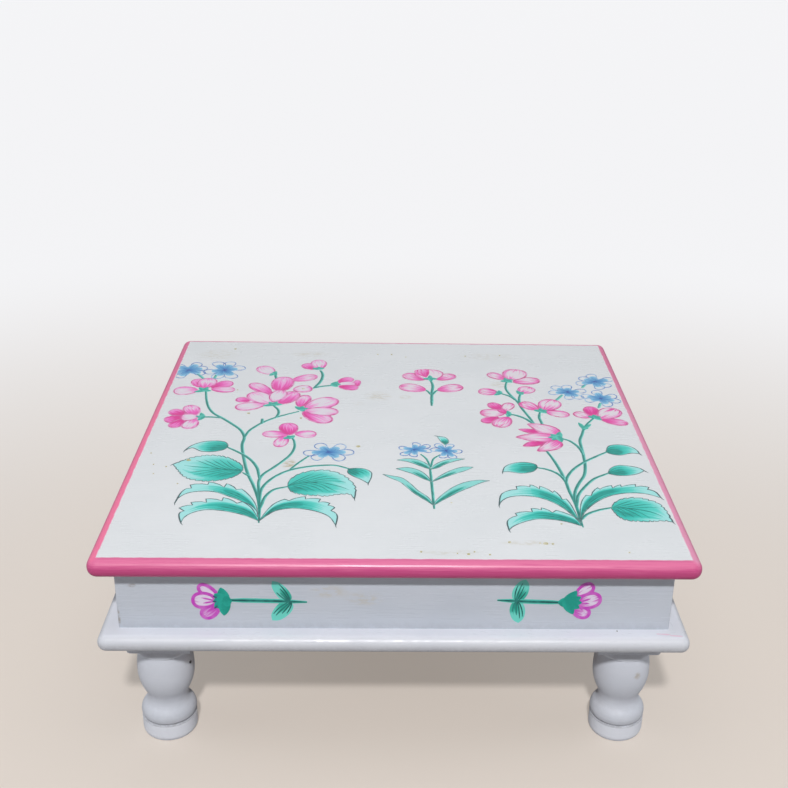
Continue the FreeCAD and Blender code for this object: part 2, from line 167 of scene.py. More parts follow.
class Tree:
    """A new material's nodes, with a short way to add one and join it to others."""

    def __init__(self, name):
        self.material = bpy.data.materials.new(name)
        self.material.use_nodes = True
        self.tree = self.material.node_tree
        self.shader = self.tree.nodes["Principled BSDF"]

    def join(self, value, socket):
        """Gives a socket a value or another socket's. A colour of four numbers is a linear one."""
        if isinstance(value, bpy.types.NodeSocket):
            self.tree.links.new(value, socket)
        elif socket.type == "RGBA" and len(value) == 3:
            socket.default_value = paint(*value)
        else:
            socket.default_value = value

    def add(self, kind, inputs=None, **settings):
        made = self.tree.nodes.new("ShaderNode" + kind)
        for name, value in settings.items():
            setattr(made, name, value)
        for name, value in (inputs or {}).items():
            self.join(value, made.inputs[name])
        return made

    def shade(self, **inputs):
        """Sets the shader's own sockets, an underscore standing for a space, and gives the material."""
        for name, value in inputs.items():
            self.join(value, self.shader.inputs[name.replace("_", " ")])
        return self.material

    def read(self, *attributes):
        """Numbers that the mesh carries at each of its points."""
        return [self.add("Attribute", attribute_name=name).outputs["Fac"] for name in attributes]

    def place(self, scale=(1, 1, 1), shift=(0, 0, 0)):
        """Points of the object in its own frame, scaled by three numbers to the metre and then shifted."""
        where = self.add("TexCoord").outputs["Object"]
        return self.add("Mapping", {"Vector": where, "Scale": scale, "Location": shift}).outputs["Vector"]

    def axes(self):
        """How far a point lies along each axis, in metres."""
        return self.add("SeparateXYZ", {"Vector": self.place()}).outputs

    def length(self, vector):
        return self.add("VectorMath", {0: vector}, operation="LENGTH").outputs["Value"]

    def combine(self, x, y, z):
        return self.add("CombineXYZ", {"X": x, "Y": y, "Z": z}).outputs["Vector"]

    def noise(self, vector, scale=1.0, detail=3.0, roughness=0.5):
        inputs = {"Vector": vector, "Scale": scale, "Detail": detail, "Roughness": roughness}
        return self.add("TexNoise", inputs).outputs["Fac"]

    def span(self, value, low, high, to_low=0.0, to_high=1.0, smooth=False):
        """Maps one range of a value onto another, held at both ends. ease does it with soft ends."""
        inputs = {"Value": value, "From Min": low, "From Max": high, "To Min": to_low, "To Max": to_high}
        kind = "SMOOTHSTEP" if smooth else "LINEAR"
        return self.add("MapRange", inputs, interpolation_type=kind).outputs["Result"]

    ease = partialmethod(span, smooth=True)

    def swing(self, noise, reach):
        """A noise stretched to run from minus a reach to that reach."""
        return self.span(noise, 0.3, 0.7, -reach, reach)

    def streaks(self, wide, long, scale, detail, reach):
        """Marks of the brush in a film, finer by two numbers across it and along it, as a swing."""
        across, along, seed = self.read("across", "along", "seed")
        place = self.combine(self.times(across, wide), self.times(along, long), seed)
        return self.swing(self.noise(place, scale, detail), reach)

    def maths(self, operation, first, *others):
        """An operation on the first value and the next, then on what it gives and the one after."""
        for other in others:
            first = self.add("Math", {0: first, 1: other}, operation=operation).outputs[0]
        return first

    plus = partialmethod(maths, "ADD")
    times = partialmethod(maths, "MULTIPLY")
    most = partialmethod(maths, "MAXIMUM")

    def size(self, value):
        return self.add("Math", {0: value}, operation="ABSOLUTE").outputs[0]

    def mix(self, share, first, second):
        return self.add("Mix", {0: share, 6: first, 7: second}, data_type="RGBA").outputs[2]

    def ramp(self, value, *stops):
        """A colour for each of some places between 0 and 1, blended in between."""
        made = self.add("ValToRGB", {"Fac": value})
        band = made.color_ramp
        while len(band.elements) < len(stops):
            band.elements.new(1)
        for element, (position, colour) in zip(band.elements, stops):
            element.position = position
            element.color = paint(*colour)
        return made.outputs["Color"]

    def bump(self, height, distance, strength=0.5, below=None):
        inputs = {"Height": height, "Distance": distance, "Strength": strength}
        if below is not None:
            inputs["Normal"] = below
        return self.add("Bump", inputs).outputs["Normal"]


def grain_colour(tree, stretch):
    """Pale sawn wood. stretch is how fine its grain is to the metre along each axis."""
    rings = tree.noise(tree.place(stretch), 1, 5, 0.6)
    pores = tree.noise(tree.place([8 * s for s in stretch]), 1, 2)
    wood = tree.ramp(rings, (0.3, (158, 116, 76)), (0.5, (196, 156, 110)), (0.7, (212, 178, 134)))
    return tree.mix(tree.span(pores, 0.55, 0.75, 0.0, 0.4), wood, (132, 92, 58)), rings


def enamel(name, whites, brush, grain, bare=None, stains_and_shade=(), painted_shade=None, painted_light=None, rough=0.27,
           uneven=0.02):
    """Brushed gloss paint over wood.

    bare gives, from the tree, how far the brush missed a place, and the two ways before rough give how far
    painted shade darkens a place and painted light whitens it. Some stain marks are painted shade too. rough
    is its roughness, and uneven how far brush marks change it.
    """
    tree = Tree(name)
    colour, shadow = whites
    clouds = tree.noise(tree.place(), 14, 4, 0.6)
    marks = tree.noise(tree.place(brush), 1, 2)
    swell = tree.noise(tree.place(), 55, 2)
    tint = tree.mix(tree.ease(clouds, 0.3, 0.75), colour, shadow)
    tint = tree.mix(tree.span(marks, 0.3, 0.8, 0.0, 0.3), tint, shadow)
    # Painted light: a whiter tone mixed in where it is given
    if painted_light is not None:
        tint = tree.mix(painted_light(tree), tint, PAINTED_LIGHT_WHITE)
    if stains_and_shade:
        blots = tree.span(tree.noise(tree.place((130, 300, 300)), 1, 4, 0.65), 0.44, 0.6, 0.1, 1.0)
    # Stain marks, some of them painted shade, laid in blots of a noise
    for place, size, strength, tone in stains_and_shade:
        reach = tree.length(tree.place([1 / (s * MM) for s in size], [-p / s for p, s in zip(place, size)]))
        share = tree.times(tree.ease(reach, 1, 0.2, 0, strength), blots)
        tint = tree.mix(share, tint, tone)
    gloss = tree.ease(clouds, 0.25, 0.75, rough - 0.04, rough + 0.04)
    gloss = tree.plus(gloss, tree.swing(marks, uneven))
    # Painted shade: the grey is mixed in, in patches, and the gloss is made rougher there
    if painted_shade is not None:
        patches = tree.span(tree.noise(tree.place(), 220, 4, 0.7), 0.3, 0.6, 0.45, 1)
        shade_share = tree.times(painted_shade(tree), patches)
        tint = tree.mix(shade_share, tint, PAINTED_SHADE_GREY)
        gloss = tree.plus(gloss, tree.times(shade_share, 0.5))
    if bare is not None:
        wood, _ = grain_colour(tree, grain)
        missed = bare(tree)
        tint = tree.mix(missed, tint, wood)
        gloss = tree.most(gloss, tree.span(missed, 0, 1, 0, 0.75))
    normal = tree.bump(marks, 0.00012, 0.7, tree.bump(swell, 0.0004))
    return tree.shade(Base_Color=tint, Roughness=gloss, Normal=normal)


def between(tree, value, low, high, soft):
    """One where a value lies between two others, fading to nought a little outside."""
    rise = tree.ease(value, low - soft, low)
    return tree.times(rise, tree.ease(value, high + soft, high))


def leg_groove_shade(tree):
    """Painted shade in the groove round each foot, and a little on the ring above it and round the neck."""
    z = tree.axes()["Z"]
    groove, ring, neck = (tree.times(between(tree, z, *heights, soft), share) for heights, soft, share in (
        (GROOVE, 0.0012, 0.5), (RING, 0.004, 0.11), (NECK, 0.002, 0.2)))
    return tree.plus(tree.most(groove, ring), neck)


def foot_light(tree):
    """Painted light: the feet below the groove are whiter."""
    return tree.span(tree.axes()["Z"], *FOOT_LIGHT_FADE, 0.0, 0.85)


def frame_face_shade(tree):
    """Painted shade on the frame's face below its rounded edge."""
    return tree.ease(tree.axes()["Z"], FRAME_HIGH.z - 0.004, FRAME_HIGH.z - 0.009, 0.0, 0.22)


def frame_top_light(tree):
    """Painted light makes the frame's upper face, the ledge, the whitest part of it."""
    return tree.span(tree.axes()["Z"], FRAME_HIGH.z - 0.0012, FRAME_HIGH.z - 0.0002, 0.0, 0.4)


def board_foot_shade(tree):
    """Painted shade along the foot of the boards, where they meet the frame, and less of it along their
    head, under the top.
    """
    z = tree.axes()["Z"]
    low = tree.ease(z, APRON_LOW.z + 0.010, APRON_LOW.z, 0.0, 0.22)
    return tree.plus(low, tree.ease(z, APRON_HIGH.z - 0.008, APRON_HIGH.z, 0.0, 0.15))


def inside_table(tree):
    """One within the boards round the table, where nobody painted, and nought outside."""
    x, y, _ = tree.axes()
    wander = tree.swing(tree.noise(tree.place(), 45, 3), 0.004)
    return tree.span(tree.plus(tree.most(tree.size(x), tree.size(y)), wander), *BARE_WITHIN)


def under_top(tree):
    """One on the top's underside within the boards, where nobody painted."""
    low = tree.span(tree.axes()["Z"], TOP_LOW.z + 0.0006, TOP_LOW.z + 0.0003)
    return tree.times(inside_table(tree), low)


def raw_wood(name, stretch):
    tree = Tree(name)
    wood, rings = grain_colour(tree, stretch)
    return tree.shade(Base_Color=wood, Roughness=0.75, Normal=tree.bump(rings, 0.0002))


def nail_steel(name):
    """Dull wire steel with a little rust."""
    tree = Tree(name)
    rust = tree.span(tree.noise(tree.place(), 700, 4, 0.6), 0.5, 0.65)
    scratch = tree.noise(tree.place((2500, 2500, 400)), 1, 2)
    return tree.shade(Base_Color=tree.mix(rust, (176, 176, 178), (122, 78, 50)),
                      Metallic=tree.span(rust, 0, 1, 0.9, 0.1), Roughness=tree.span(rust, 0, 1, 0.38, 0.8),
                      Normal=tree.bump(scratch, 0.00003))


def pink_edge(name):
    """Pink brushed along the edge, thin where it meets the white. It darkens down the nose as painted shade
    and is lightest up on the flat as painted light; on the flat of the left and right sides it takes a
    lighter pink still, most over the front half, pinker on the left.
    """
    tree = Tree(name)
    x, y, z = tree.axes()
    far_x, far_y = tree.size(x), tree.size(y)
    reach = tree.most(far_x, far_y)
    strokes = tree.combine(tree.times(tree.plus(x, y), 35), tree.times(z, 1100), tree.times(reach, 1100))
    streaks = tree.noise(strokes, 1, 3)
    low = tree.span(z, TOP_LOW.z + 0.002, TOP_HIGH.z - 0.002)
    # Painted shade: the pink darkens from the flat down the nose to its underside
    tint = tree.ramp(tree.plus(low, tree.swing(streaks, 0.2)), *zip((0.0, 0.6, 1.0), PINKS_SHADED_TO_LIT))
    beside = tree.span(tree.maths("SUBTRACT", far_x, far_y), -0.004, 0.002)
    above = tree.span(z, TOP_HIGH.z - 0.003, TOP_HIGH.z - 0.0006)
    flat = tree.times(above, tree.span(y, 0.16, 0, 0.2, 1))
    flank = tree.mix(tree.span(x, -0.1, 0.1), PINK_LEFT, PINK_RIGHT)
    tint = tree.mix(tree.times(beside, flat), tint, flank)
    wander = tree.swing(tree.noise(tree.place(), 130, 2), 0.0003)
    inner = TOP_HIGH.x - BORDER * MM
    thin = tree.span(tree.plus(reach, wander), inner + 0.0003, inner + 0.0013)
    return tree.shade(Base_Color=tree.mix(thin, TOP_WHITE[0], tint), Specular_IOR_Level=0.38,
                      Roughness=tree.span(streaks, 0.3, 0.7, 0.27, 0.42), Normal=tree.bump(streaks, 0.00008))


def artist_paint(name, colour_of, *tones):
    """Hand-laid paint with soft brush marks. colour_of works its colour out from the film's own numbers."""
    tree = Tree(name)
    marks = tree.noise(tree.place(), 420, 2)
    return tree.shade(Base_Color=colour_of(tree, *tones), Roughness=0.34, Normal=tree.bump(marks, 0.00005))


def petal_colour(tree, dark, deep, full, pale, tips=(0.45, 1.1)):
    """Deep at the heel, pale in the hollow, with a soft rim, and streaked from heel to tip.

    tips is how deep the palest and the deepest tips are.
    """
    across, along, fill, seed = tree.read("across", "along", "fill", "seed")
    streaks = tree.streaks(5, 1, 1.4, 2, 0.24)
    lean = tree.swing(tree.noise(tree.combine(seed, seed, 0), 0.7), 0.4)
    blush = tree.span(tree.noise(tree.combine(seed, 0, seed), 0.9), 0.35, 0.6, *tips)
    rim = tree.ease(tree.size(tree.plus(across, lean)), 0.5, 1.15, 0, 0.6)
    run = tree.plus(along, streaks)
    end = tree.times(tree.ease(run, 0.6, 0.92, 0, 0.85), blush)
    run = tree.maths("DIVIDE", run, tree.span(fill, 0, 1, 0.28, 1.2))
    heel = tree.times(tree.ease(run, 1, 0.25), tree.span(fill, 0, 1.5, 0.65, 1.25))
    both = tree.times(tree.maths("MINIMUM", rim, heel), 0.5)
    depth = tree.plus(tree.most(rim, end, heel), both, tree.times(streaks, 0.3))
    return tree.ramp(depth, (0.16, pale), (0.46, full), (0.8, deep), (1.0, dark))


def leaf_colour(tree, dark, deep, mid, light, reach=0.0):
    """Deep along the heart of the leaf, with a pale fringe at its far edge, and pale towards the tip.

    reach is how much further than usual the deep paint goes.
    """
    across, along, fill = tree.read("across", "along", "fill")
    streaks = tree.streaks(3, 1, 2.2, 3, 0.14)
    band = tree.ease(across, 0.65 + reach, reach - 0.1)
    edge = tree.span(across, -1.2, -0.4, 0.55, 1.0)
    thin = tree.ease(tree.plus(along, streaks), 0.72 + reach, 0.36 + reach)
    heel = tree.span(along, 0.3, 0.0, 0.0, 0.25)
    depth = tree.plus(tree.times(tree.times(band, edge), tree.times(thin, fill)), heel, streaks)
    return tree.ramp(depth, (0.16, light), (0.5, mid), (0.85, deep), (1.0, dark))


def round_leaf_colour(tree, dark, deep, mid, light, reach=0.0):
    """Deep towards the foot and along the middle, light round the rim and at the tip."""
    across, along, fill = tree.read("across", "along", "fill")
    streaks = tree.streaks(3, 1, 2.2, 3, 0.14)
    body = tree.ease(tree.plus(along, streaks), 0.86 + reach, 0.3 + reach)
    low = tree.span(across, 1.0, -0.5, 0.62, 1.0)
    rim = tree.ease(tree.size(across), 0.5, 1.0, 0, 0.35)
    rim = tree.times(rim, tree.span(along, 0.1, 0.5))
    depth = tree.maths("SUBTRACT", tree.times(body, low, fill), rim)
    depth = tree.plus(depth, tree.span(along, 0.2, 0.0, 0.0, 0.25), streaks)
    return tree.ramp(depth, (0.14, light), (0.48, mid), (0.88, deep), (1.0, dark))


def stem_colour(tree, core, mid, fringe):
    """A dark stroke with a light one beside it. Where fill is nought the dark one is left out."""
    across, fill = tree.read("across", "fill")
    side = tree.span(tree.plus(across, tree.streaks(1, 6, 2, 2, 0.35)), -1.0, 1.0)
    both = tree.ramp(side, (0.08, fringe), (0.34, mid), (0.55, core), (0.75, core), (1.0, mid))
    return tree.mix(fill, tree.mix(tree.span(side, 0.2, 0.8), fringe, mid), both)


def blue_colour(tree, heart, full, pale):
    """Dark at the flower's heart and washed out towards the tips."""
    across, along = tree.read("across", "along")
    side = tree.span(tree.size(across), 0.2, 1.0, 0.0, 0.2)
    depth = tree.plus(along, side, tree.streaks(2, 1, 2, 3, 0.15))
    return tree.ramp(depth, (0.2, heart), (0.46, full), (0.95, pale))


def line_colour(tree, strong, weak):
    """A thin line whose paint runs out here and there, or nowhere where fill is one."""
    runs = tree.span(tree.noise(tree.place(), 160, 2), 0.42, 0.66)
    [fill] = tree.read("fill")
    return tree.mix(tree.times(runs, tree.span(fill, 0.5, 1.0, 1.0, 0.0)), strong, weak)


def on_top(x, y, height):
    """A place on the top, held inside the border, which was painted last."""
    field = TOP_HIGH.x / MM - BORDER
    x, y = (min(max(value, -field), field) for value in (x, y))
    return (x * MM, y * MM, TOP_HIGH.z + height * MM)


def on_apron(x, z, height):
    return (x * MM, APRON_LOW.y - height * MM, z * MM)


def on_ledge(x, y, height):
    return (x * MM, y * MM, FRAME_HIGH.z + height * MM)


def smooth(places):
    """A smooth line through a few places, given as one run of numbers or as pairs."""
    points = np.array(places, float).reshape(-1, 2)
    points = np.vstack([2 * points[0] - points[1], points, 2 * points[-1] - points[-2]])
    steps = np.sqrt(np.linalg.norm(np.diff(points, axis=0), axis=1))
    t = np.linspace(0, 1, SPAN_POINTS, endpoint=False)[:, None]
    line = []
    for i in range(1, len(points) - 2):
        before, here, after = steps[i - 1 : i + 2]
        p0, p1, p2, p3 = points[i - 1 : i + 3]
        leave = here * ((p1 - p0) / before - (p2 - p0) / (before + here) + (p2 - p1) / here)
        arrive = here * ((p2 - p1) / here - (p3 - p1) / (here + after) + (p3 - p2) / after)
        start = (2 * t**3 - 3 * t**2 + 1) * p1 + (t**3 - 2 * t**2 + t) * leave
        line.append(start + (3 * t**2 - 2 * t**3) * p2 + (t**3 - t**2) * arrive)
    return np.vstack([*line, points[-2]])


def lengths(line):
    """How far along a line each of its points is, as a share."""
    run = np.concatenate([[0], np.cumsum(np.linalg.norm(np.diff(line, axis=0), axis=1))])
    return run / run[-1]


def at(line, shares):
    """The points of a line at shares of its length."""
    run = lengths(line)
    return np.stack([np.interp(shares, run, line[:, axis]) for axis in (0, 1)], axis=1)


def sideways(line):
    """The direction to the left of a line at each of its points."""
    run = np.gradient(line, axis=0)
    run /= np.maximum(np.linalg.norm(run, axis=1, keepdims=True), 1e-9)
    return np.stack([-run[:, 1], run[:, 0]], axis=1)


def oval(base, tip, width, bend=0.0, heel=0.62, crown=0.44, count=17):
    """The middle line and half widths of a petal or small leaf, from its heel to its tip."""
    base, tip = np.array(base, float), np.array(tip, float)
    t = (1 - np.cos(np.linspace(0, np.pi, count))) / 2
    axis = tip - base
    left = np.array([-axis[1], axis[0]]) / np.linalg.norm(axis)
    spine = base + t[:, None] * axis + (4 * t * (1 - t) * bend)[:, None] * left
    peak = (heel / (heel + crown)) ** heel * (crown / (heel + crown)) ** crown
    return spine, left * (width / 2 * t**heel * (1 - t) ** crown / peak)[:, None]


def outline(spine, half, gap=0.0):
    """A line round an oval from its heel and back to it, but for a share of it at each end."""
    edge = np.vstack([(spine - half)[:-1], (spine + half)[::-1]])
    return at(edge, np.linspace(gap, 1 - gap, OUTLINE_POINTS))


def notches(bounds, uneven):
    """Shares of an edge that teeth ending at some shares need, and how deep the cuts are there."""
    shape = [(0.03, 1.0), (0.35, 0.5), (0.7, 0.16), (0.97, 0.0)]
    places, depths = list(np.linspace(0, bounds[0], 12, endpoint=False)), [0.0] * 12
    for number, (start, end) in enumerate(zip(bounds, bounds[1:])):
        size = 0.9 + 0.2 * math.sin(3.7 * number + uneven)
        places += [start + place * (end - start) for place, _ in shape]
        depths += [depth * size for _, depth in shape]
    places += list(np.linspace(bounds[-1] + 0.003, 1, 8))
    return np.clip(places, 0, 1), np.array(depths + [0.0] * 8)


class Film:
    """Paint of one kind on one face: closed thin sheets in a mesh of its own."""

    def __init__(self, name, material, surface, slot):
        self.name, self.material, self.surface, self.slot = name, material, surface, slot
        self.points, self.faces = [], []
        self.numbers = {"across": [], "along": [], "fill": [], "seed": []}
        self.sheets = 0

    def sheet(self, rows, layer, fill=0.5, across=None):
        """Lays a grid of points, rows from one edge to the other, as a closed sheet at a layer."""
        rows = np.array(rows, float)
        high, wide = rows.shape[:2]
        start, under = len(self.points), len(self.points) + high * wide
        self.sheets += 1
        hair = HAIR * (self.sheets % HAIRS)
        for height in (PAINT_DEPTH + layer * LAYER + hair, -PAINT_DEPTH - hair):
            for i, j in np.ndindex(high, wide):
                self.points.append(self.surface(*rows[i, j], height))
                side = 2 * i / (high - 1) - 1 if across is None else across[i][j]
                numbers = (side, j / (wide - 1), fill, self.sheets * SEED_STEP)
                for values, number in zip(self.numbers.values(), numbers):
                    values.append(number)
        grid = np.arange(high * wide).reshape(high, wide)
        for i, j in np.ndindex(high - 1, wide - 1):
            quad = [grid[i, j], grid[i, j + 1], grid[i + 1, j + 1], grid[i + 1, j]]
            self.faces.append([start + corner for corner in quad])
            self.faces.append([under + corner for corner in reversed(quad)])
        ring = [*grid[0], *grid[1:, -1], *grid[-1, -2::-1], *grid[-2:0:-1, 0]]
        for a, b in zip(ring, ring[1:] + ring[:1]):
            self.faces.append([start + b, start + a, under + a, under + b])

    def fan(self, spine, half, rows, layer, fill=0.5):
        """Lays an oval, given by its middle line and half widths, as a sheet of some rows."""
        self.sheet([spine + half * u for u in np.linspace(-1, 1, rows)], layer, fill)

    def stroke(self, line, width, layer, press=0.6, lift=0.3, fill=0.5):
        """A brush stroke along a line, thinner where the brush is set down and lifted."""
        line = np.array(line, float)
        run = lengths(line)
        start = np.minimum(1, press + (1 - press) * run / SET_DOWN)
        end = np.minimum(1, lift + (1 - lift) * (1 - run) / LIFTED)
        side = sideways(line) * (width / 2 * np.minimum(start, end))[:, None]
        self.sheet([line - side, line, line + side], layer, fill)

    def finish(self):
        """Makes the mesh, with its points welded where a sheet narrows to nothing."""
        mesh = bpy.data.meshes.new(self.name)
        mesh.from_pydata(self.points, [], self.faces)
        for name, values in self.numbers.items():
            mesh.attributes.new(name, "FLOAT", "POINT").data.foreach_set("value", values)
        work = bmesh.new()
        work.from_mesh(mesh)
        bmesh.ops.remove_doubles(work, verts=work.verts, dist=2e-6)
        bmesh.ops.recalc_face_normals(work, faces=work.faces)
        work.to_mesh(mesh)
        work.free()
        mesh.materials.append(self.material)
        piece = new_object(self.name, mesh)
        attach(piece, "root")


class Plant:
    """One painted plant: a film for each kind of paint it is done in."""

    def __init__(self, name, paints, surface=on_top, slot="top_paint"):
        self.films = {kind: Film(f"{name}_{kind}", made, surface, slot) for kind, made in paints.items()}

    def finish(self):
        for film in self.films.values():
            if film.points:
                film.finish()

    def stems(self, *runs, lift=0.75, fill=1.0):
        """Stems that are given as a width and the places they pass."""
        for width, *places in runs:
            self.films["stems"].stroke(smooth(places), width, STEM, lift=lift, fill=fill)

    def vein(self, line, width, layer=VEIN, press=0.6, lift=0.2):
        self.films["veins"].stroke(line, width, layer, press, lift)

    def blade(self, kind, foot, tip, inner, outer, bounds=None, depth=0.0, both=False, fill=1.0, line=0.9):
        """A leaf between two edges from its foot to its tip. Cuts between bounds go into the outer edge or
        into both.

        Gives back the outer edge, and a way to find places on the leaf by shares across and along.
        """
        inner_line, outer_line = (smooth([*foot, *np.ravel(edge), *tip]) for edge in (inner, outer))
        shares, deep = np.linspace(0, 1, LEAF_POINTS), np.zeros(LEAF_POINTS)
        if bounds is not None:
            shares, deep = notches(bounds, foot[0])
        start, end = at(inner_line, shares), at(outer_line, shares)
        over = end - start
        reach = np.maximum(np.linalg.norm(over, axis=1, keepdims=True), 1e-6)
        cut = np.minimum(depth / reach, 0.45) * deep[:, None]
        low, left = (cut, 1 - 2 * cut) if both else (0 * cut, 1 - cut)
        spans = [low + share * left for share in np.linspace(0, 1, LEAF_ROWS)]
        rows = [start + span * over for span in spans]
        self.films[kind].sheet(rows, LEAF, fill, [2 * span[:, 0] - 1 for span in spans])
        if line:
            for edge in (rows[0], rows[-1]):
                self.films["leaf_lines"].stroke(edge, line, EDGE, 0.6, 0.9)

        def within(across, along):
            across, along = np.broadcast_arrays(across, along)
            side = np.reshape(across, (-1, 1))
            return at(inner_line, along) * (1 - side) + at(outer_line, along) * side

        return rows[-1], within

    def tip(self, edge, width=1.2):
        """A dark stroke round the tip of a leaf, drawn out a little past it."""
        end = at(edge, np.linspace(0.86, 1, 8))
        run = end[-1] - end[-3]
        run = run / np.linalg.norm(run) * TAIL
        end = np.vstack([end, end[-1] + run * 0.5 + (0.3, 0), end[-1] + run + (1, 0)])
        self.films["leaf_lines"].stroke(end, width, EDGE + 1, 0.2, 0.1, fill=1)

    def arching_leaf(self, foot, tip, inner, outer, depth=6.0, start=0.02):
        """A long leaf with dark strokes down it. Its teeth end at the outer places but the first two and
        the last."""
        line = smooth([*foot, *outer, *tip])
        bounds = lengths(line)[3 * SPAN_POINTS : -SPAN_POINTS : SPAN_POINTS]
        edge, within = self.blade("leaves", foot, tip, inner, outer, bounds, depth)
        for number, across in enumerate((0.12, 0.28, 0.46)):
            self.vein(within(across, np.linspace(start + 0.03 * number, 0.6 - 0.1 * number, 14)), 0.9)
        for place in line[3 * SPAN_POINTS : -2 * SPAN_POINTS : SPAN_POINTS]:
            near = np.argmin(np.linalg.norm(edge - place, axis=1))
            self.films["leaf_lines"].stroke(edge[near - 1 : near + 2], 1.1, EDGE + 1, 0.3, 0.6, fill=1)
        self.tip(edge)

    def round_leaf(self, foot, tip, inner, outer, teeth=14, veins=5):
        """A broad leaf with small teeth all round and curved veins."""
        bounds = [0.08 + 0.88 * (n + 0.16 * math.sin(2.1 * n + foot[0])) / teeth for n in range(teeth + 1)]
        edge, within = self.blade("round_leaves", foot, tip, inner, outer, bounds, 1.8, both=True)
        self.vein(within(0.5, np.linspace(0.01, 0.8, 14)), 0.9, press=0.9)
        reach = np.linspace(0, 1, 10)
        for number in range(veins):
            for side in (-1, 1):
                along = 0.03 + 0.4 * number / veins + 0.33 * reach
                across = 0.5 + side * (0.36 - 0.02 * number) * reach**1.4
                self.vein(within(across, along), 0.8, press=0.9)
        self.tip(edge)

    def small_leaf(self, foot, tip, inner, outer):
        """A smooth leaf with dark strokes spreading from its foot, and a fine tail."""
        edge, within = self.blade("round_leaves", foot, tip, inner, outer, fill=1.15)
        for across in (0.18, 0.38, 0.6, 0.8):
            self.vein(within(across, np.linspace(0.02, 0.5, 8)), 0.8, VEIN, 0.8, 0.15)
        self.tip(edge, width=1)

    def flower(self, *petals, rim=1.0):
        """Petals with a line round each, from the one behind to the one in front. A petal is its heel, tip,
        width and how full of colour it is, with its shape where it isn't the usual one."""
        for order, (x, y, tip_x, tip_y, width, fill, *shape) in enumerate(petals):
            spine, half = oval((x, y), (tip_x, tip_y), 0.93 * width, *shape)
            self.films["petals"].fan(spine, half, 9, PETAL + order, fill)
            self.films["petal_lines"].stroke(outline(spine, half), rim, PETAL + order + 0.5, 0.7, 0.7)

    def sepals(self, *places, width=5.0):
        """The green cup that holds a flower: a lobe from its heart to each tip."""
        heart, *tips = np.reshape(places, (-1, 2))
        for tip in tips:
            lobe = oval(heart - 0.25 * (tip - heart), tip, width, 0, 0.5, 0.75, 11)
            self.films["sepals"].fan(*lobe, 5, SEPAL)

    def star(self, x, y, size, turn, loop, slim=0.62):
        """A blue flower: six washed lobes round a dark heart, and thin loops drawn past their ends."""
        heart = np.array([x, y], float)
        for number in range(6):
            sway = math.sin(number * 2.3 + x)
            angle = math.radians(turn + number * 360 / 6 + 9 * sway)
            toward = np.array([math.cos(angle), math.sin(angle)])
            length = size * (1 + 0.12 * math.sin(number * 4.1 + y))
            lobe = oval(heart - 2 * toward, heart + length * toward, slim * size, 0, 0.7, 0.4, 13)
            self.films["blue_petals"].fan(*lobe, 7, PETAL)
            lobe = oval(heart + 0.4 * length * toward, heart + (length + loop) * toward,
                        slim * size + 0.35 * loop, 1.5 * sway, 0.7, 0.45)
            self.films["blue_lines"].stroke(outline(*lobe, 0.1), 0.95, PETAL + 1, 0.5, 0.5)


def palette(**kinds):
    """Makes the paint for each kind of film, from a name, a way to colour it and its tones."""
    return {kind: artist_paint(*recipe) for kind, recipe in kinds.items()}


TEALS = ((16, 154, 144), (38, 190, 178), (88, 212, 202), (166, 230, 230))

greens = palette(
    stems=("stem_paint", stem_colour, (42, 128, 120), (64, 164, 154), (124, 216, 208)),
    leaves=("leaf_paint", leaf_colour, *TEALS),
    round_leaves=("round_leaf_paint", round_leaf_colour, *TEALS),
    veins=("vein_paint", line_colour, (18, 120, 112), (36, 160, 148)),
    leaf_lines=("leaf_line_paint", line_colour, (72, 96, 100), (128, 162, 162)),
    sepals=("sepal_paint", stem_colour, (34, 152, 138), (60, 178, 164), (94, 202, 188)),
)
slim = palette(
    leaves=("slim_leaf_paint", leaf_colour, (20, 140, 130), (44, 172, 160), (88, 198, 188), (142, 220, 216)),
    leaf_lines=("slim_line_paint", line_colour, (96, 128, 130), (150, 182, 182)),
)
deeper = palette(
    leaves=("deep_leaf_paint", leaf_colour, *TEALS, 0.1),
    round_leaves=("deep_round_leaf_paint", round_leaf_colour, *TEALS, 0.09),
)
blues = palette(
    blue_petals=("blue_paint", blue_colour, (52, 62, 152), (68, 140, 200), (146, 204, 232)),
    blue_lines=("blue_line_paint", line_colour, (82, 122, 188), (162, 196, 228)),
)
mauves = palette(
    petals=("mauve_paint", petal_colour, (222, 52, 150), (238, 98, 192), (242, 156, 218), (227, 219, 231)),
    petal_lines=("mauve_line_paint", line_colour, (210, 90, 158), (230, 166, 208)),
)
roses = palette(
    petals=("rose_paint", petal_colour, (222, 48, 150), (234, 80, 174), (238, 146, 210), (229, 220, 230),
            (0.85, 1.25)),
    petal_lines=("rose_line_paint", line_colour, (204, 86, 146), (226, 160, 200)),
)
apron_paints = palette(
    stems=("apron_stem_paint", line_colour, (84, 204, 188), (112, 222, 208)),
    leaves=("apron_leaf_paint", leaf_colour, (14, 142, 126), (34, 170, 150), (72, 196, 178),
            (112, 220, 206)),
    veins=("apron_vein_paint", line_colour, (20, 100, 96), (40, 140, 130)),
    petals=("magenta_paint", petal_colour, (200, 62, 192), (208, 86, 202), (218, 146, 218), (234, 222, 245)),
    petal_lines=("magenta_line_paint", line_colour, (204, 68, 198), (214, 112, 210)),
    sepals=("apron_sepal_paint", stem_colour, (10, 150, 134), (16, 160, 143), (30, 174, 157)),
    notches=("notch_paint", line_colour, (48, 62, 112), (70, 96, 130)),
)


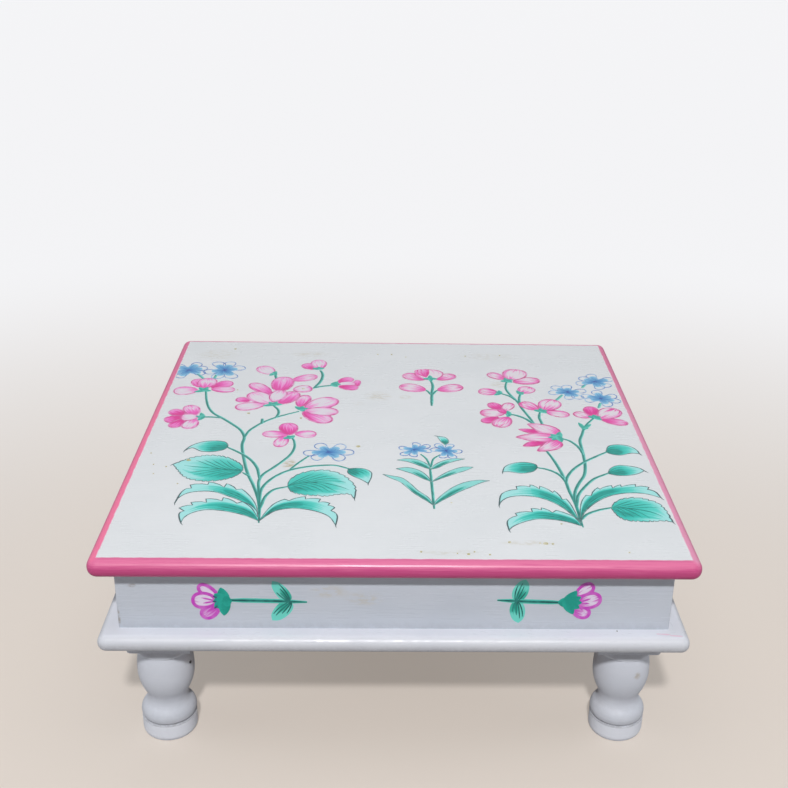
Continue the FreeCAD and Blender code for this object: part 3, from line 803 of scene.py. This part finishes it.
def rounded_square(half, corner, per_side=24, per_corner=8):
    """Points round a square with rounded corners, and the direction outward at each."""
    points, outward, straight = [], [], half - corner
    for quarter in range(4):
        turn = math.radians(90 * quarter)
        cos, sin = math.cos(turn), math.sin(turn)
        places = [(half, y, 1, 0) for y in np.linspace(-straight, straight, per_side, endpoint=False)]
        for angle in np.linspace(0, math.pi / 2, per_corner, endpoint=False):
            c, s = math.cos(angle), math.sin(angle)
            places.append((straight + corner * c, straight + corner * s, c, s))
        for x, y, out_x, out_y in places:
            points.append((x * cos - y * sin, x * sin + y * cos))
            outward.append((out_x * cos - out_y * sin, out_x * sin + out_y * cos))
    return np.array(points), np.array(outward)


def paint_border():
    """A ring of pink round the top's edge, from its flat face over the nose to the underside."""
    half = TOP_HIGH.x / MM
    middle = (TOP_HIGH.z + TOP_LOW.z) / 2 / MM
    flat = (TOP_HIGH.z - TOP_LOW.z) / 2 / MM - NOSE
    profile = [(BORDER, flat + NOSE, 0, 1)]
    for start, end, level in ((math.pi / 2, 0, flat), (0, -math.pi / 2, -flat)):
        for angle in np.linspace(start, end, 9):
            out, rise = math.cos(angle), math.sin(angle)
            profile.append((NOSE - NOSE * out, level + NOSE * rise, out, rise))
    profile.append((NOSE + 3, -flat - NOSE, 0, -1))
    film = Film("pink_border", pink_edge("pink_paint"), None, "top_paint")
    loops = []
    for skin in (PAINT_DEPTH * 1.6, -PAINT_DEPTH):
        side = profile if skin > 0 else profile[::-1]
        for place, (inset, up, out, rise) in enumerate(side):
            ring, outward = rounded_square(half - inset, max(CORNER - inset, 0.4))
            run = np.arange(len(ring))
            edge = place in (0, len(side) - 1)
            wander = 0.28 * np.sin(run * 0.41) + 0.2 * np.sin(run * 0.97 + 2) if edge else 0 * run
            ring = ring + outward * (skin * out - wander)[:, None]
            loops.append([(x * MM, y * MM, (middle + up + skin * rise) * MM) for x, y in ring])
    count, around = len(loops), len(loops[0])
    for row, loop in enumerate(loops):
        film.points += loop
        film.numbers["across"] += [row / (count - 1)] * around
        film.numbers["along"] += list(np.arange(around) / around)
    film.numbers["fill"] = [1.0] * len(film.points)
    film.numbers["seed"] = [0.0] * len(film.points)
    for row, j in np.ndindex(count, around):
        here, after, k = row * around, (row + 1) % count * around, (j + 1) % around
        film.faces.append([here + j, here + k, after + k, after + j])
    film.finish()


def make_camera():
    data = bpy.data.cameras.new("photo_camera")
    data.sensor_width = SENSOR_WIDTH
    data.lens = SENSOR_WIDTH * FOCAL_LENGTH_PIXELS / PHOTO_SIDE
    data.shift_x = (PHOTO_SIDE / 2 - CENTRE_PIXEL[0]) / PHOTO_SIDE
    data.shift_y = (CENTRE_PIXEL[1] - PHOTO_SIDE / 2) / PHOTO_SIDE
    camera = new_object("photo_camera", data)
    turn = Matrix.Rotation(math.radians(CAMERA_YAW), 4, "Z")
    tilt = Matrix.Rotation(math.radians(90 - CAMERA_PITCH), 4, "X")
    roll = Matrix.Rotation(math.radians(CAMERA_ROLL), 4, "Z")
    camera.matrix_world = Matrix.Translation(CAMERA_PLACE) @ turn @ tilt @ roll
    bpy.context.scene.camera = camera


def make_lamp(name, place, target, size, watts, colour=COOL, shines=True):
    data = bpy.data.lights.new(name, "AREA")
    data.shape = "DISK"
    data.size = size
    data.energy = watts
    data.color = colour
    lamp = new_object(name, data)
    lamp.location = place
    lamp.rotation_mode = "QUATERNION"
    lamp.rotation_quaternion = (Vector(target) - Vector(place)).to_track_quat("-Z", "Y")
    lamp.visible_camera = False
    lamp.visible_glossy = shines


def make_lights():
    make_lamp("key", (-0.075, -2.225, 2.33), (0, -0.05, 0.12), 0.21, 66, WARM)
    make_lamp("overhead", (0, 0.1, 2.2), (0, 0, 0), 2.4, 12.5)
    for name, place, watts in (("left", (-2.6, -0.3, 1), 12.5), ("right", (2.6, -0.3, 1), 12.5),
                               ("behind", (0, 2.6, 1), 15)):
        make_lamp(name, place, (0, 0, 0.1), 2, watts, shines=False)
    world = bpy.data.worlds.new("studio")
    world.use_nodes = True
    nodes, links = world.node_tree.nodes, world.node_tree.links
    ray = nodes.new("ShaderNodeLightPath")
    strength = None
    for kind, value in (("Is Glossy Ray", SHINE), ("Is Camera Ray", BACKDROP)):
        choose = nodes.new("ShaderNodeMix")
        choose.inputs["A"].default_value = FILL
        if strength is not None:
            links.new(strength, choose.inputs["A"])
        choose.inputs["B"].default_value = value
        links.new(ray.outputs[kind], choose.inputs["Factor"])
        strength = choose.outputs["Result"]
    sky = nodes["Background"]
    sky.inputs["Color"].default_value = (0.96, 0.98, 1, 1)
    links.new(strength, sky.inputs["Strength"])
    bpy.context.scene.world = world


def make_floor(side=30, glow_share=0.42):
    """A plain pale floor. To the camera it glows a little, so that shadows on it stay soft, and fades into
    the pale surroundings. It throws up less light than it shows, as a dull board would."""
    mesh = bpy.data.meshes.new("floor")
    corners = [(-side, -side, 0), (side, -side, 0), (side, side, 0), (-side, side, 0)]
    mesh.from_pydata(corners, [], [(0, 1, 2, 3)])
    tree = Tree("pale_floor")
    seen = tree.add("LightPath").outputs["Is Camera Ray"]
    far = tree.ease(tree.length(tree.place(shift=(0, 0.6, 0))), 0.55, 1.8)
    lit = tree.mix(far, (181, 173, 166), (0, 0, 0))
    glow = tree.mix(far, [glow_share * value for value in paint(216, 207, 198)[:3]] + [1], (240, 240, 242))
    mesh.materials.append(tree.shade(Base_Color=tree.mix(seen, (170, 166, 164), lit), Roughness=0.9,
                                     Emission_Color=glow, Emission_Strength=seen))
    new_object("floor", mesh)


def dress(material, *names):
    """Gives CAD nodes a material."""
    for name in names:
        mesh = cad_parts[name].data
        mesh.materials.clear()
        mesh.materials.append(material)


paint_border()

# The big spray with mauve flowers, places across and back from the middle of the top
plant = Plant("left_spray", {**greens, **mauves, **blues})

# The two long stems that fork, and those that leave them
plant.stems(
    (3, -107, -163, -111.5, -130.4, -117.8, -107, -125, -85.4, -130.4, -62, -135.8, -31.4, -135.8, -15.2,
     -141.2, 0, -148.4, 10, -161, 25.3, -170, 35.2, -176.3, 47.8, -180.8, 64, -185, 88),
    (2.8, -135.8, -18, -133, -2.6, -128.6, 6.4, -121.4, 17.2, -111.5, 27.1, -101.6, 34.3, -90.8, 41.5),
    (2.8, -161, 25.3, -170, 27.1, -180, 27.1),
    (3, -123, 13, -123.5, 24.4),
    (2.8, -111.5, 27.1, -109.7, 35.2, -110.6, 44.2, -116.9, 55.9),
    (2.8, -107, -163, -109.7, -137.6, -112.4, -116, -114, -98, -111.5, -87, -105.2, -76.4, -98, -63.8,
     -91.6, -49.4, -89.3, -35, -90.7, -22.4, -92.9, -16),
    (2.8, -114, -96, -117.8, -76.4, -123.2, -63.8, -130.4, -53, -139.4, -44, -148.4, -36),
    (2, -122, -92, -125, -89, -129.5, -84),
    (2.2, -90.7, -80, -83.5, -65.6, -75.4, -52.1),
    (2.8, -108, -150, -110.6, -116, -107, -101.6, -99.7, -89, -90.7, -80, -78.1, -73.7, -65.5, -70.5,
     -52, -70, -40, -76),
    (2.8, -108, -146, -107, -132, -105, -123, -99.7, -114, -89.5, -109),
    (3.2, -80.8, 96, -75.4, 110.8, -73.3, 123.4, -73.6, 134.2, -76.3, 143.2),
    (3, -80.8, 97, -72.7, 101.5, -62, 104.5))
plant.stems(
    (3, -190, 116, -200, 132),
    (3, -181.5, 115, -180, 131), fill=0.1)
plant.stems((3, -118.5, 116, -121, 130))

plant.vein(smooth([-107, -169, -108.5, -150, -111, -128]), 1.5, EDGE, 0.8)

# The toothed leaves that arch out at its foot
plant.arching_leaf((-109, -160), (-177.2, -138),
    [-116, -144, -126, -133, -137.6, -125, -148.4, -118.7, -159, -117.8, -170, -121.4, -176.3, -131],
    [-111.5, -143, -119, -125, -129.6, -110.5, -140.5, -104.5, -155.6, -102, -170, -107.5, -175, -120],
    start=0.3)
plant.arching_leaf((-107.5, -166), (-167.3, -169.7),
    [-117.8, -158.3, -128.6, -153, -141.2, -149.3, -152, -149, -161, -153.8, -166, -161],
    [-110.6, -150.2, -117.8, -139.4, -126.6, -133.5, -140.1, -128.6, -153.8, -131, -164.7, -137.4,
     -172.5, -146.5, -170.3, -160])
plant.arching_leaf((-107, -166), (-47, -172),
    [-96.2, -150.2, -85.3, -145.7, -74.5, -146.3, -62, -151, -53, -158.3],
    [-103.4, -152, -97, -137, -87, -128.8, -73.1, -126, -60.9, -130, -53.1, -137, -49, -144.3,
     -46.3, -158], 5)

# The round leaves, and the small one
plant.round_leaf((-129.5, -80), (-190.3, -70),
    [-132.2, -88, -139.4, -95.5, -150.2, -100, -162.8, -100.5, -175.4, -95, -182.5, -85],
    [-131, -71, -135.8, -64.5, -144.8, -56, -155.6, -52, -167, -52.5, -179, -58.5], 15)
plant.round_leaf((-89.5, -109), (-33.7, -129),
    [-85.3, -118.5, -75, -123.5, -65.4, -124.5, -57.4, -125.5, -46, -122, -38.2, -122],
    [-89, -98, -82, -86, -71, -79.5, -56, -79, -42, -90, -33, -110], 13)
plant.small_leaf((-40.6, -76), (-23, -102.4),
    [-40.6, -83.2, -35.8, -89.6, -28.6, -96],
    [-35, -74.9, -27, -76, -21, -82, -20.6, -91])
plant.small_leaf((-148, -35.5), (-184.5, -43.5),
    [-150.2, -40.4, -159.2, -45, -170, -44.5, -179, -38],
    [-148.4, -31.4, -152, -25.6, -161, -23.7, -171.8, -26, -180.5, -34])

# The flower at the left, its neighbour facing away and the cluster in the middle
plant.flower((-193, 89, -216, 87.5, 21, 0.3), (-190, 96, -198, 117, 16, 0.85),
    (-180, 94, -163, 111, 17, 0.9), (-180, 92, -157.5, 91, 14, 0.35), (-187.5, 94.5, -186, 119, 20, 0.5),
    rim=1.2)
plant.sepals(-187, 89, -196, 85, -193, 96, -184, 97, -180, 88)
plant.flower((-186.5, 31, -196, 52.5, 16, 0.6), (-197, 31, -211, 41, 14, 1.1),
    (-197, 26, -212.5, 18, 16, 1.3), (-196, 21, -204.5, 4, 13, 1), (-186, 23, -190, 1.5, 15, 0.35),
    (-183.5, 27, -199.5, 25.5, 16, 0.1), rim=1.5)
plant.sepals(-179, 27, -182, 36, -186, 28, -182.5, 19.5)
plant.flower((-139.5, 64, -152.5, 69.5, 12, 0.9), (-121.5, 82, -142.5, 107.5, 16, 0.6),
    (-125, 57, -151, 48, 18, 0.25), (-120, 59, -139.5, 84.5, 23, 0.05), (-100, 92, -82.5, 97, 17, 0.1),
    (-109.8, 57.8, -98, 87, 20, 0.7), (-113.5, 87, -110.7, 124, 23, 0.75), (-117, 63, -111, 90, 17, 0),
    rim=1.6)
plant.sepals(-117, 56.5, -126, 53, -121, 62, -113, 63, -108, 57)
plant.flower((-103, 116, -79, 128.5, 16, 0.45), rim=1.1)
plant.flower((-124.5, 132, -138, 152, 18, 0.1), rim=1.1)
plant.sepals(-122.5, 134, -127, 128, -121, 139, -120.5, 128)

# The flowers on the right of the spray
plant.flower((-82, 146, -93.5, 160, 15, 0.9), (-77.5, 147, -80, 171, 17, 0.35), rim=1.1)
plant.sepals(-78.5, 147, -85, 148, -78, 152, -72.5, 149)
plant.flower((-57, 112, -43, 123, 13, 0.9), (-40, 98, -37.5, 118, 8, 0.9), (-57, 108, -39.5, 107.5, 14, 0),
    (-56, 102, -37, 97.5, 13, 1), rim=1.1)
plant.sepals(-62, 106, -57, 114, -54, 107, -57, 101, width=6)
plant.flower((-91, 52, -86.5, 79, 14, 0.6), (-85, 47, -57.5, 71, 25, 0.2), (-86.5, 42, -61, 18, 21, 0.7),
    (-85.5, 44, -54.5, 40, 19, 0.2), rim=1.8)
plant.sepals(-89, 46, -95.5, 52, -88, 53, -82.5, 48, -86, 41)
plant.flower((-97, -10, -120, -8, 14, 0.5), (-91, -6.5, -72, -9.5, 15, 0.4),
    (-99.5, -13, -104, -34.5, 13, 0.45), (-95.3, -10, -99.5, 14.5, 18, 0.85), rim=1.2)
plant.sepals(-95, -16, -101, -18, -97, -12, -90.5, -12)

plant.star(-209.6, 140.5, 15, 80, 5)
plant.star(-173.6, 141.4, 15, 70, 8)
plant.star(-58.6, -44.5, 13.5, 60, 7)
plant.finish()

# The rose spray at the right
plant = Plant("right_spray", {**greens, **deeper, **roses, **blues})
plant.stems(
    (3, 145.6, -170, 145.6, -137.5, 143.5, -113, 142.6, -93.8, 140.5, -74.5, 137.4, -55.3, 132.7, -35.1),
    (2.8, 129.5, 17, 124.3, 39, 121, 53, 119, 65.5, 115.9, 76, 112, 88.2, 109.9, 99.6, 110.6, 109,
     112.5, 118),
    (2.8, 118, 70, 112, 81.2, 104, 88),
    (2.8, 120.2, 60, 120.8, 76, 123, 86.5),
    (3.2, 128.3, 18, 121.6, 29.6, 113.8, 36.6, 107.6, 39.2),
    (2.8, 136.5, 13, 136.2, 20, 135.3, 32.2, 137.4, 44),
    (3, 145.3, -150, 147, -120, 152.3, -102.5, 160.1, -85, 163.6, -67.5, 165, -50, 165.7, -32.5,
     166.6, -16.8, 170.6, -3.6, 174.1, 8.6, 178.5, 18.2, 187, 32),
    (2.8, 164.9, -46, 164.5, -37.8, 161.9, -27.3, 156.6, -17.6, 149.6, -12.4),
    (2.8, 142.8, -99, 140.9, -89.4, 136.5, -80.6, 129.5, -74.5, 121, -71),
    (2.8, 143, -100, 145.3, -88.5, 152.3, -74.5, 162.8, -61.4, 175, -50, 187, -40),
    (2.8, 145.8, -142, 149.6, -121.8, 157.5, -106, 168, -91.1, 182, -80.5),
    (2.8, 146, -162, 152.3, -152.4, 162.8, -145.4, 174.5, -141))
plant.stems(
    (3, 154, 68.1, 164.5, 86),
    (3, 195.1, 55, 199, 67),
    (3, 186.4, 104, 191, 112), fill=0.1)

plant.vein(smooth([146, -173, 145.6, -152, 146, -132]), 1.5, EDGE, 0.8)

plant.arching_leaf((145, -168), (83, -139),
    [140, -153.3, 131.3, -137.5, 119, -126.1, 105, -122.1, 92.8, -124.4, 85.8, -131.4],
    [143, -148, 141, -134, 137.6, -123.7, 130.6, -113, 119.6, -105, 111.8, -102.8, 99.8, -106, 87, -119],
    5)
plant.arching_leaf((145, -171), (87.5, -178),
    [134.8, -164.6, 124.3, -161.1, 112, -160.3, 99.8, -165.5, 91, -172.5],
    [143.5, -160, 135, -150.5, 125.7, -145, 116.5, -142.2, 108.3, -143.5, 94.6, -151.8, 87.5, -164], 5)
plant.arching_leaf((145.5, -166), (217.5, -124),
    [148.8, -153.3, 155.8, -141, 166.3, -128.8, 178.5, -120, 192.5, -116, 206.5, -117.4],
    [147, -150, 151.5, -130, 158.6, -117, 168.4, -107, 180.4, -103, 188.2, -101.8, 201.1, -101,
     211.3, -106, 215.5, -115], 4.5)
plant.round_leaf((173.3, -141.9), (218.5, -163.8),
    [175, -151.5, 180.3, -161, 191, -163.5, 203, -163.5, 211, -162.5],
    [176.8, -133.5, 184, -126.5, 194.3, -123.5, 205, -126, 213.5, -133, 217.5, -146], 12, 4)
plant.small_leaf((122, -71), (91, -79.8),
    [117.3, -78.5, 106.8, -82, 96.3, -79.3],
    [120.8, -65.5, 112, -61.5, 101.5, -63.5, 94, -70])
plant.small_leaf((185.9, -40.4), (215.6, -43),
    [190.8, -44.5, 198.6, -46, 208.3, -42.1],
    [190.8, -28.1, 198.6, -25.2, 208.3, -27.5, 213.8, -34.3])
plant.small_leaf((180.6, -81.5), (213.2, -75.9),
    [187.3, -84.5, 196, -85, 206.5, -81.5],
    [185.5, -71, 192.5, -66, 203, -67.5, 210, -71])

plant.flower((110, 124, 96, 139.5, 14, 0.4), (119, 117, 145.5, 122.5, 18, 0.35),
    (117, 122, 126, 149.5, 26, 0.2), rim=1.6)
plant.sepals(112.5, 119.5, 106, 119, 111, 127, 119, 123, 118, 116)
plant.flower((101.5, 89, 82.5, 94, 17, 0.45))
plant.sepals(103.5, 88.5, 97, 83.5, 99, 92, 102.5, 95, width=4.5)
plant.flower((123.5, 89, 135, 104, 18, 0.4))
plant.sepals(122.5, 88, 120, 95, 127, 91, 126, 86, width=4.5)
plant.flower((101, 48, 91.5, 64.5, 13, 0.9), (104, 47, 111, 64.5, 12, 0.15),
    (103.5, 41, 80.5, 41, 18, 0.15), (106, 40, 99, 50, 8, 1), (97, 31, 81, 21, 13, 1),
    (106, 32, 94, 10.5, 18, 0.5), rim=1.3)
plant.sepals(108, 39, 106.5, 46, 104, 38, 105, 32.5, width=4.5)
plant.flower((135.5, 49, 122, 67, 16, 0.55), (143, 46, 164, 37, 15, 0.35), (142, 48, 154, 73, 23, 0.4),
    rim=1.2)
plant.sepals(138.5, 46.5, 132, 48.5, 139, 53, 145, 48, 144, 42)
plant.flower((183, 32, 170.5, 44, 13, 0.3), (193.5, 29, 216.5, 19, 14, 0.7),
    (193, 31, 211.5, 52.5, 23, 0.2), (187, 36, 186.5, 57.5, 15, 1.1), rim=1.3)
plant.sepals(188, 33, 181.5, 35, 187.5, 39, 194, 34, 193.5, 27)
plant.sepals(174, 9, 170.6, 21, 182, 17.4, 178, 8, width=4.5)

# The one with pointed petals, seen from its side
plant.flower((132, -1, 113.5, 5.5, 9, 1, 0, 0.6, 0.9), (134, -19, 114, -29.5, 11, 1, 0, 0.6, 0.9),
    (148, -6, 122.5, 17.8, 20, 0.35, -2, 0.45, 0.9), (147, -18, 125.5, -39.5, 17, 0.4, 2, 0.45, 0.9),
    (145.5, -12, 109.5, -11, 20, 0.4, 0, 0.45, 0.9), rim=1.5)
plant.sepals(148, -11, 150.5, 0.5, 141, -5, 138, -11.5, 141, -17, 149.5, -21, width=6.5)

plant.star(202, 119.7, 13.5, 85, 6)
plant.star(170.6, 92.6, 12, 75, 7)
plant.star(201.3, 78.1, 13, 95, 6)
plant.finish()

# The small rose sprig behind the middle
plant = Plant("back_sprig", {**greens, **roses})
plant.stems(
    (3.2, 34.9, 56.8, 35.4, 70.4, 36.2, 89.6, 37.5, 105.6, 35.9, 119),
    (2.4, 34.5, 84, 32.5, 91, 29, 96.5),
    (2.4, 37, 84, 39.5, 91, 43, 96))
plant.flower((30, 121, 9, 134.5, 18, 0.6), (41, 122, 60.5, 133.5, 16, 0.5),
    (35, 120.5, 34, 147.5, 31, 0.05), rim=1.3)
# A dab of deeper colour over the left of the middle petal, widest at its tip
plant.films["petals"].fan(*oval((31.5, 127), (26, 147.5), 15, 0, 0.9, 0.3), 9, DAB, 0.7)
plant.sepals(35.4, 123.5, 28, 123, 35.4, 132, 43, 123, 36, 117)
plant.flower((30, 94, 5, 105, 20, 0.4), rim=1.1)
plant.flower((42, 94, 66.5, 105, 19, 0.4), rim=1.1)
plant.finish()

# The small plant in front of the middle: narrow leaves in pairs and two blue flowers
plant = Plant("front_plant", {**greens, **slim, **blues})
plant.stems(
    (2.6, 30.6, -145, 29.8, -96, 29.3, -72),
    (2, 29.8, -72, 26.6, -56, 22, -47),
    (2, 30.2, -72, 33, -56, 39, -48))
for foot, tip, inner, outer in [
    ((30.4, -139.5), (-11, -85.6), [24.2, -131.2, 14.6, -118.4, 8.2, -107.2, 3.4, -99.2, -5, -92],
     [26.5, -126.4, 17.8, -113.6, 12.2, -102.4, 5, -92, -3, -88.5]),
    ((30.4, -139.5), (78.6, -96), [41.8, -126.4, 53, -115.2, 62.6, -107.2, 72.2, -99.2],
     [31.8, -132.8, 38.6, -120, 48.2, -107.2, 57.8, -99.2, 69, -95.2]),
    ((29.8, -99), (0.2, -75.2), [22.6, -92.8, 14.6, -84.8, 6.6, -79.2],
     [26, -87.2, 19.4, -77.6, 9.8, -72.8]),
    ((30.2, -99), (66.6, -71.2), [40.2, -91.2, 51.4, -83.2, 61, -76.8],
     [31.4, -96.8, 38.6, -86.4, 48.2, -76.8, 57.8, -71.2]),
    ((29.5, -76), (1, -58.9), [25, -73, 17.8, -67.2, 9.8, -61.6], [28, -68, 19.4, -58.4, 9.8, -56]),
    ((29.9, -76), (60.2, -55.7), [35.4, -73.6, 43.4, -65.6, 53, -59.2],
     [33.8, -67, 41.8, -59.2, 51.4, -55.2]),
]:
    _, within = plant.blade("leaves", foot, tip, inner, outer, line=0.8)
    plant.vein(within(0.3, np.linspace(0.03, 0.6, 12)), 1.1, press=0.7)
plant.small_leaf((44.2, -28.8), (37.8, -10.4), [41, -22, 39, -16], [47.6, -22, 45, -13])
plant.star(17, -38.4, 11, 97, 4, slim=0.5)
plant.star(44.7, -40.3, 11, 60, 4, slim=0.5)
plant.finish()

# The two sprigs lying along the front board, places across and up
plant = Plant("apron_sprigs", apron_paints, on_apron, "body_paint")
for stem in [(-125.9, 140.2, -100, 139.8, -67.5, 138.8), (126.1, 139.4, 100, 140.2, 77.5, 141.2)]:
    plant.stems((4, *stem), lift=0.4)
    plant.vein(smooth(stem), 1.9, EDGE, 0.8, 0.4)
for foot, tip, width in [((-80.5, 139.3), (-93.5, 157.5), 10), ((-79.5, 139), (-94.5, 122), 12),
                         ((92, 140.5), (98.5, 160), 12), ((92.4, 140.5), (94.6, 120.5), 12)]:
    spine, half = oval(foot, tip, width, 0, 0.45, 0.6)
    inner, outer = (spine - half)[3:-2:3], (spine + half)[3:-2:3]
    _, within = plant.blade("leaves", foot, tip, inner, outer, fill=0.9, line=0)
    for number, across in enumerate((0.2, 0.42, 0.62, 0.82)):
        along = np.linspace(0.05, 0.62 + 0.14 * math.sin(5 * number + foot[0]), 9)
        spread = 0.5 + (across - 0.5) * np.linspace(0.6, 1.1, 9)
        plant.vein(within(spread, along), 1.0, EDGE, 0.9, 0.5)
plant.flower((-135, 142, -148.5, 153, 9, 0.1), (-134.5, 136, -147, 125.5, 11, 0.8),
    (-136, 140, -154, 140, 14, 0.1), rim=2.7)
plant.flower((138, 146, 149.5, 155, 9.5, 0.1), (136, 133, 148.5, 128.5, 10, 0.6),
    (138.5, 137.5, 156, 144, 13.5, 0.3), rim=2.7)
for heart, tips in [((-136, 139.5), [(-147.5, 142.5), (-146.5, 137.5), (-143, 147.5), (-141, 131)]),
                    ((139, 139), [(149, 143), (148.5, 138.5), (145, 148), (143.5, 132)])]:
    for tip in tips:
        plant.films["petal_lines"].stroke(smooth([heart, tip]), 1.5, HEART, 1, 0.15)
plant.sepals(-130, 139.3, -132.5, 151.5, -137.5, 146, -138.5, 140, -138, 134, -131, 126.5, -124.5, 139.8,
    width=9.5)
plant.sepals(130.5, 139.6, 138, 150, 141.5, 144.5, 142.5, 139.5, 141, 134.5, 136.5, 129, 124, 139.6,
    width=8)
for notch in [(-135.5, 142.5, -138.5, 144), (-136, 139.2, -139, 139), (-135.5, 135.5, -138, 133)]:
    plant.films["notches"].stroke(smooth(notch), 1.2, NOTCH, 0.5, 0.5)
plant.finish()

# Small old marks: specks on the top, smears of pink and a dark dot on the ledge below
specks = Film("top_specks", artist_paint("speck_paint", line_colour, (184, 176, 130), (208, 204, 180)),
    on_top, "top_paint")
for x, y, size in SPECKS:
    for number in range(2):
        turn = 2.4 * number + x
        toward = np.array([math.cos(turn), 0.6 * math.sin(turn)]) * size
        end = (x, y) + toward * (0.6 + 0.2 * number)
        specks.fan(*oval((x, y) - toward * 0.5, end, size, 0, 0.5, 0.5, 9), 5, SPECK)
specks.finish()
smears = Film("pink_smears", artist_paint("smear_paint", line_colour, (230, 204, 220), (224, 216, 228)),
    on_ledge, "body_paint")
smears.stroke(smooth([201, -218, 212, -219]), 2, 0, 0.3, 0.3)
smears.stroke(smooth([211, -220, 221, -221]), 1.6, 0, 0.3, 0.3)
smears.finish()
dots = Film("ledge_dots", artist_paint("dot_paint", line_colour, (120, 116, 118), (150, 146, 148)),
    on_ledge, "body_paint")
dots.fan(*oval((170.7, -214.4), (171.9, -214.4), 1.56, 0, 0.5, 0.5, 9), 5, 0)
dots.finish()

dress(enamel("top_enamel", TOP_WHITE, TOP_BRUSH, GRAIN_ACROSS, under_top, TOP_STAINS, uneven=0.008),
      "top_panel")
for name, brush, grain, stains_and_shade, boards in (
    ("front_board_enamel", BOARD_BRUSH, GRAIN_ACROSS, APRON_STAINS_AND_SHADE, ["apron_front"]),
    ("board_enamel_across", BOARD_BRUSH, GRAIN_ACROSS, (), ["apron_back"]),
    ("board_enamel_back", SIDE_BOARD_BRUSH, GRAIN_BACK, (), ["apron_left", "apron_right"]),
):
    dress(enamel(name, BOARD_WHITE_SHADED, brush, grain, inside_table, stains_and_shade, painted_shade=board_foot_shade), *boards)
for name, brush, grain, members in (
    ("frame_enamel_across", FRAME_BRUSH, GRAIN_ACROSS, ["frame_front", "frame_back"]),
    ("frame_enamel_back", BACK_BRUSH, GRAIN_BACK, ["frame_left", "frame_right"]),
):
    dress(enamel(name, FRAME_WHITE, brush, grain, inside_table, painted_shade=frame_face_shade, painted_light=frame_top_light,
                 rough=0.37, uneven=0.12), *members)
dress(enamel("bearer_enamel", LEG_WHITE, BACK_BRUSH, GRAIN_BACK), "bearer_left", "bearer_right")
dress(enamel("leg_enamel", LEG_WHITE, LEG_BRUSH, GRAIN_UP, stains_and_shade=LEG_STAINS_AND_HOLE_SHADE, painted_shade=leg_groove_shade,
             painted_light=foot_light, rough=0.54),
      *[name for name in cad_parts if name.startswith("leg_") and name != "leg_nails"])
dress(raw_wood("raw_wood", GRAIN_UP), *[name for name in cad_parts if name.startswith("corner_block")])
dress(nail_steel("nail_steel"), "leg_nails", "top_nails", "frame_nails", "bearer_screws")

make_camera()
make_lights()
make_floor()
bpy.context.scene.view_settings.view_transform = "Standard"
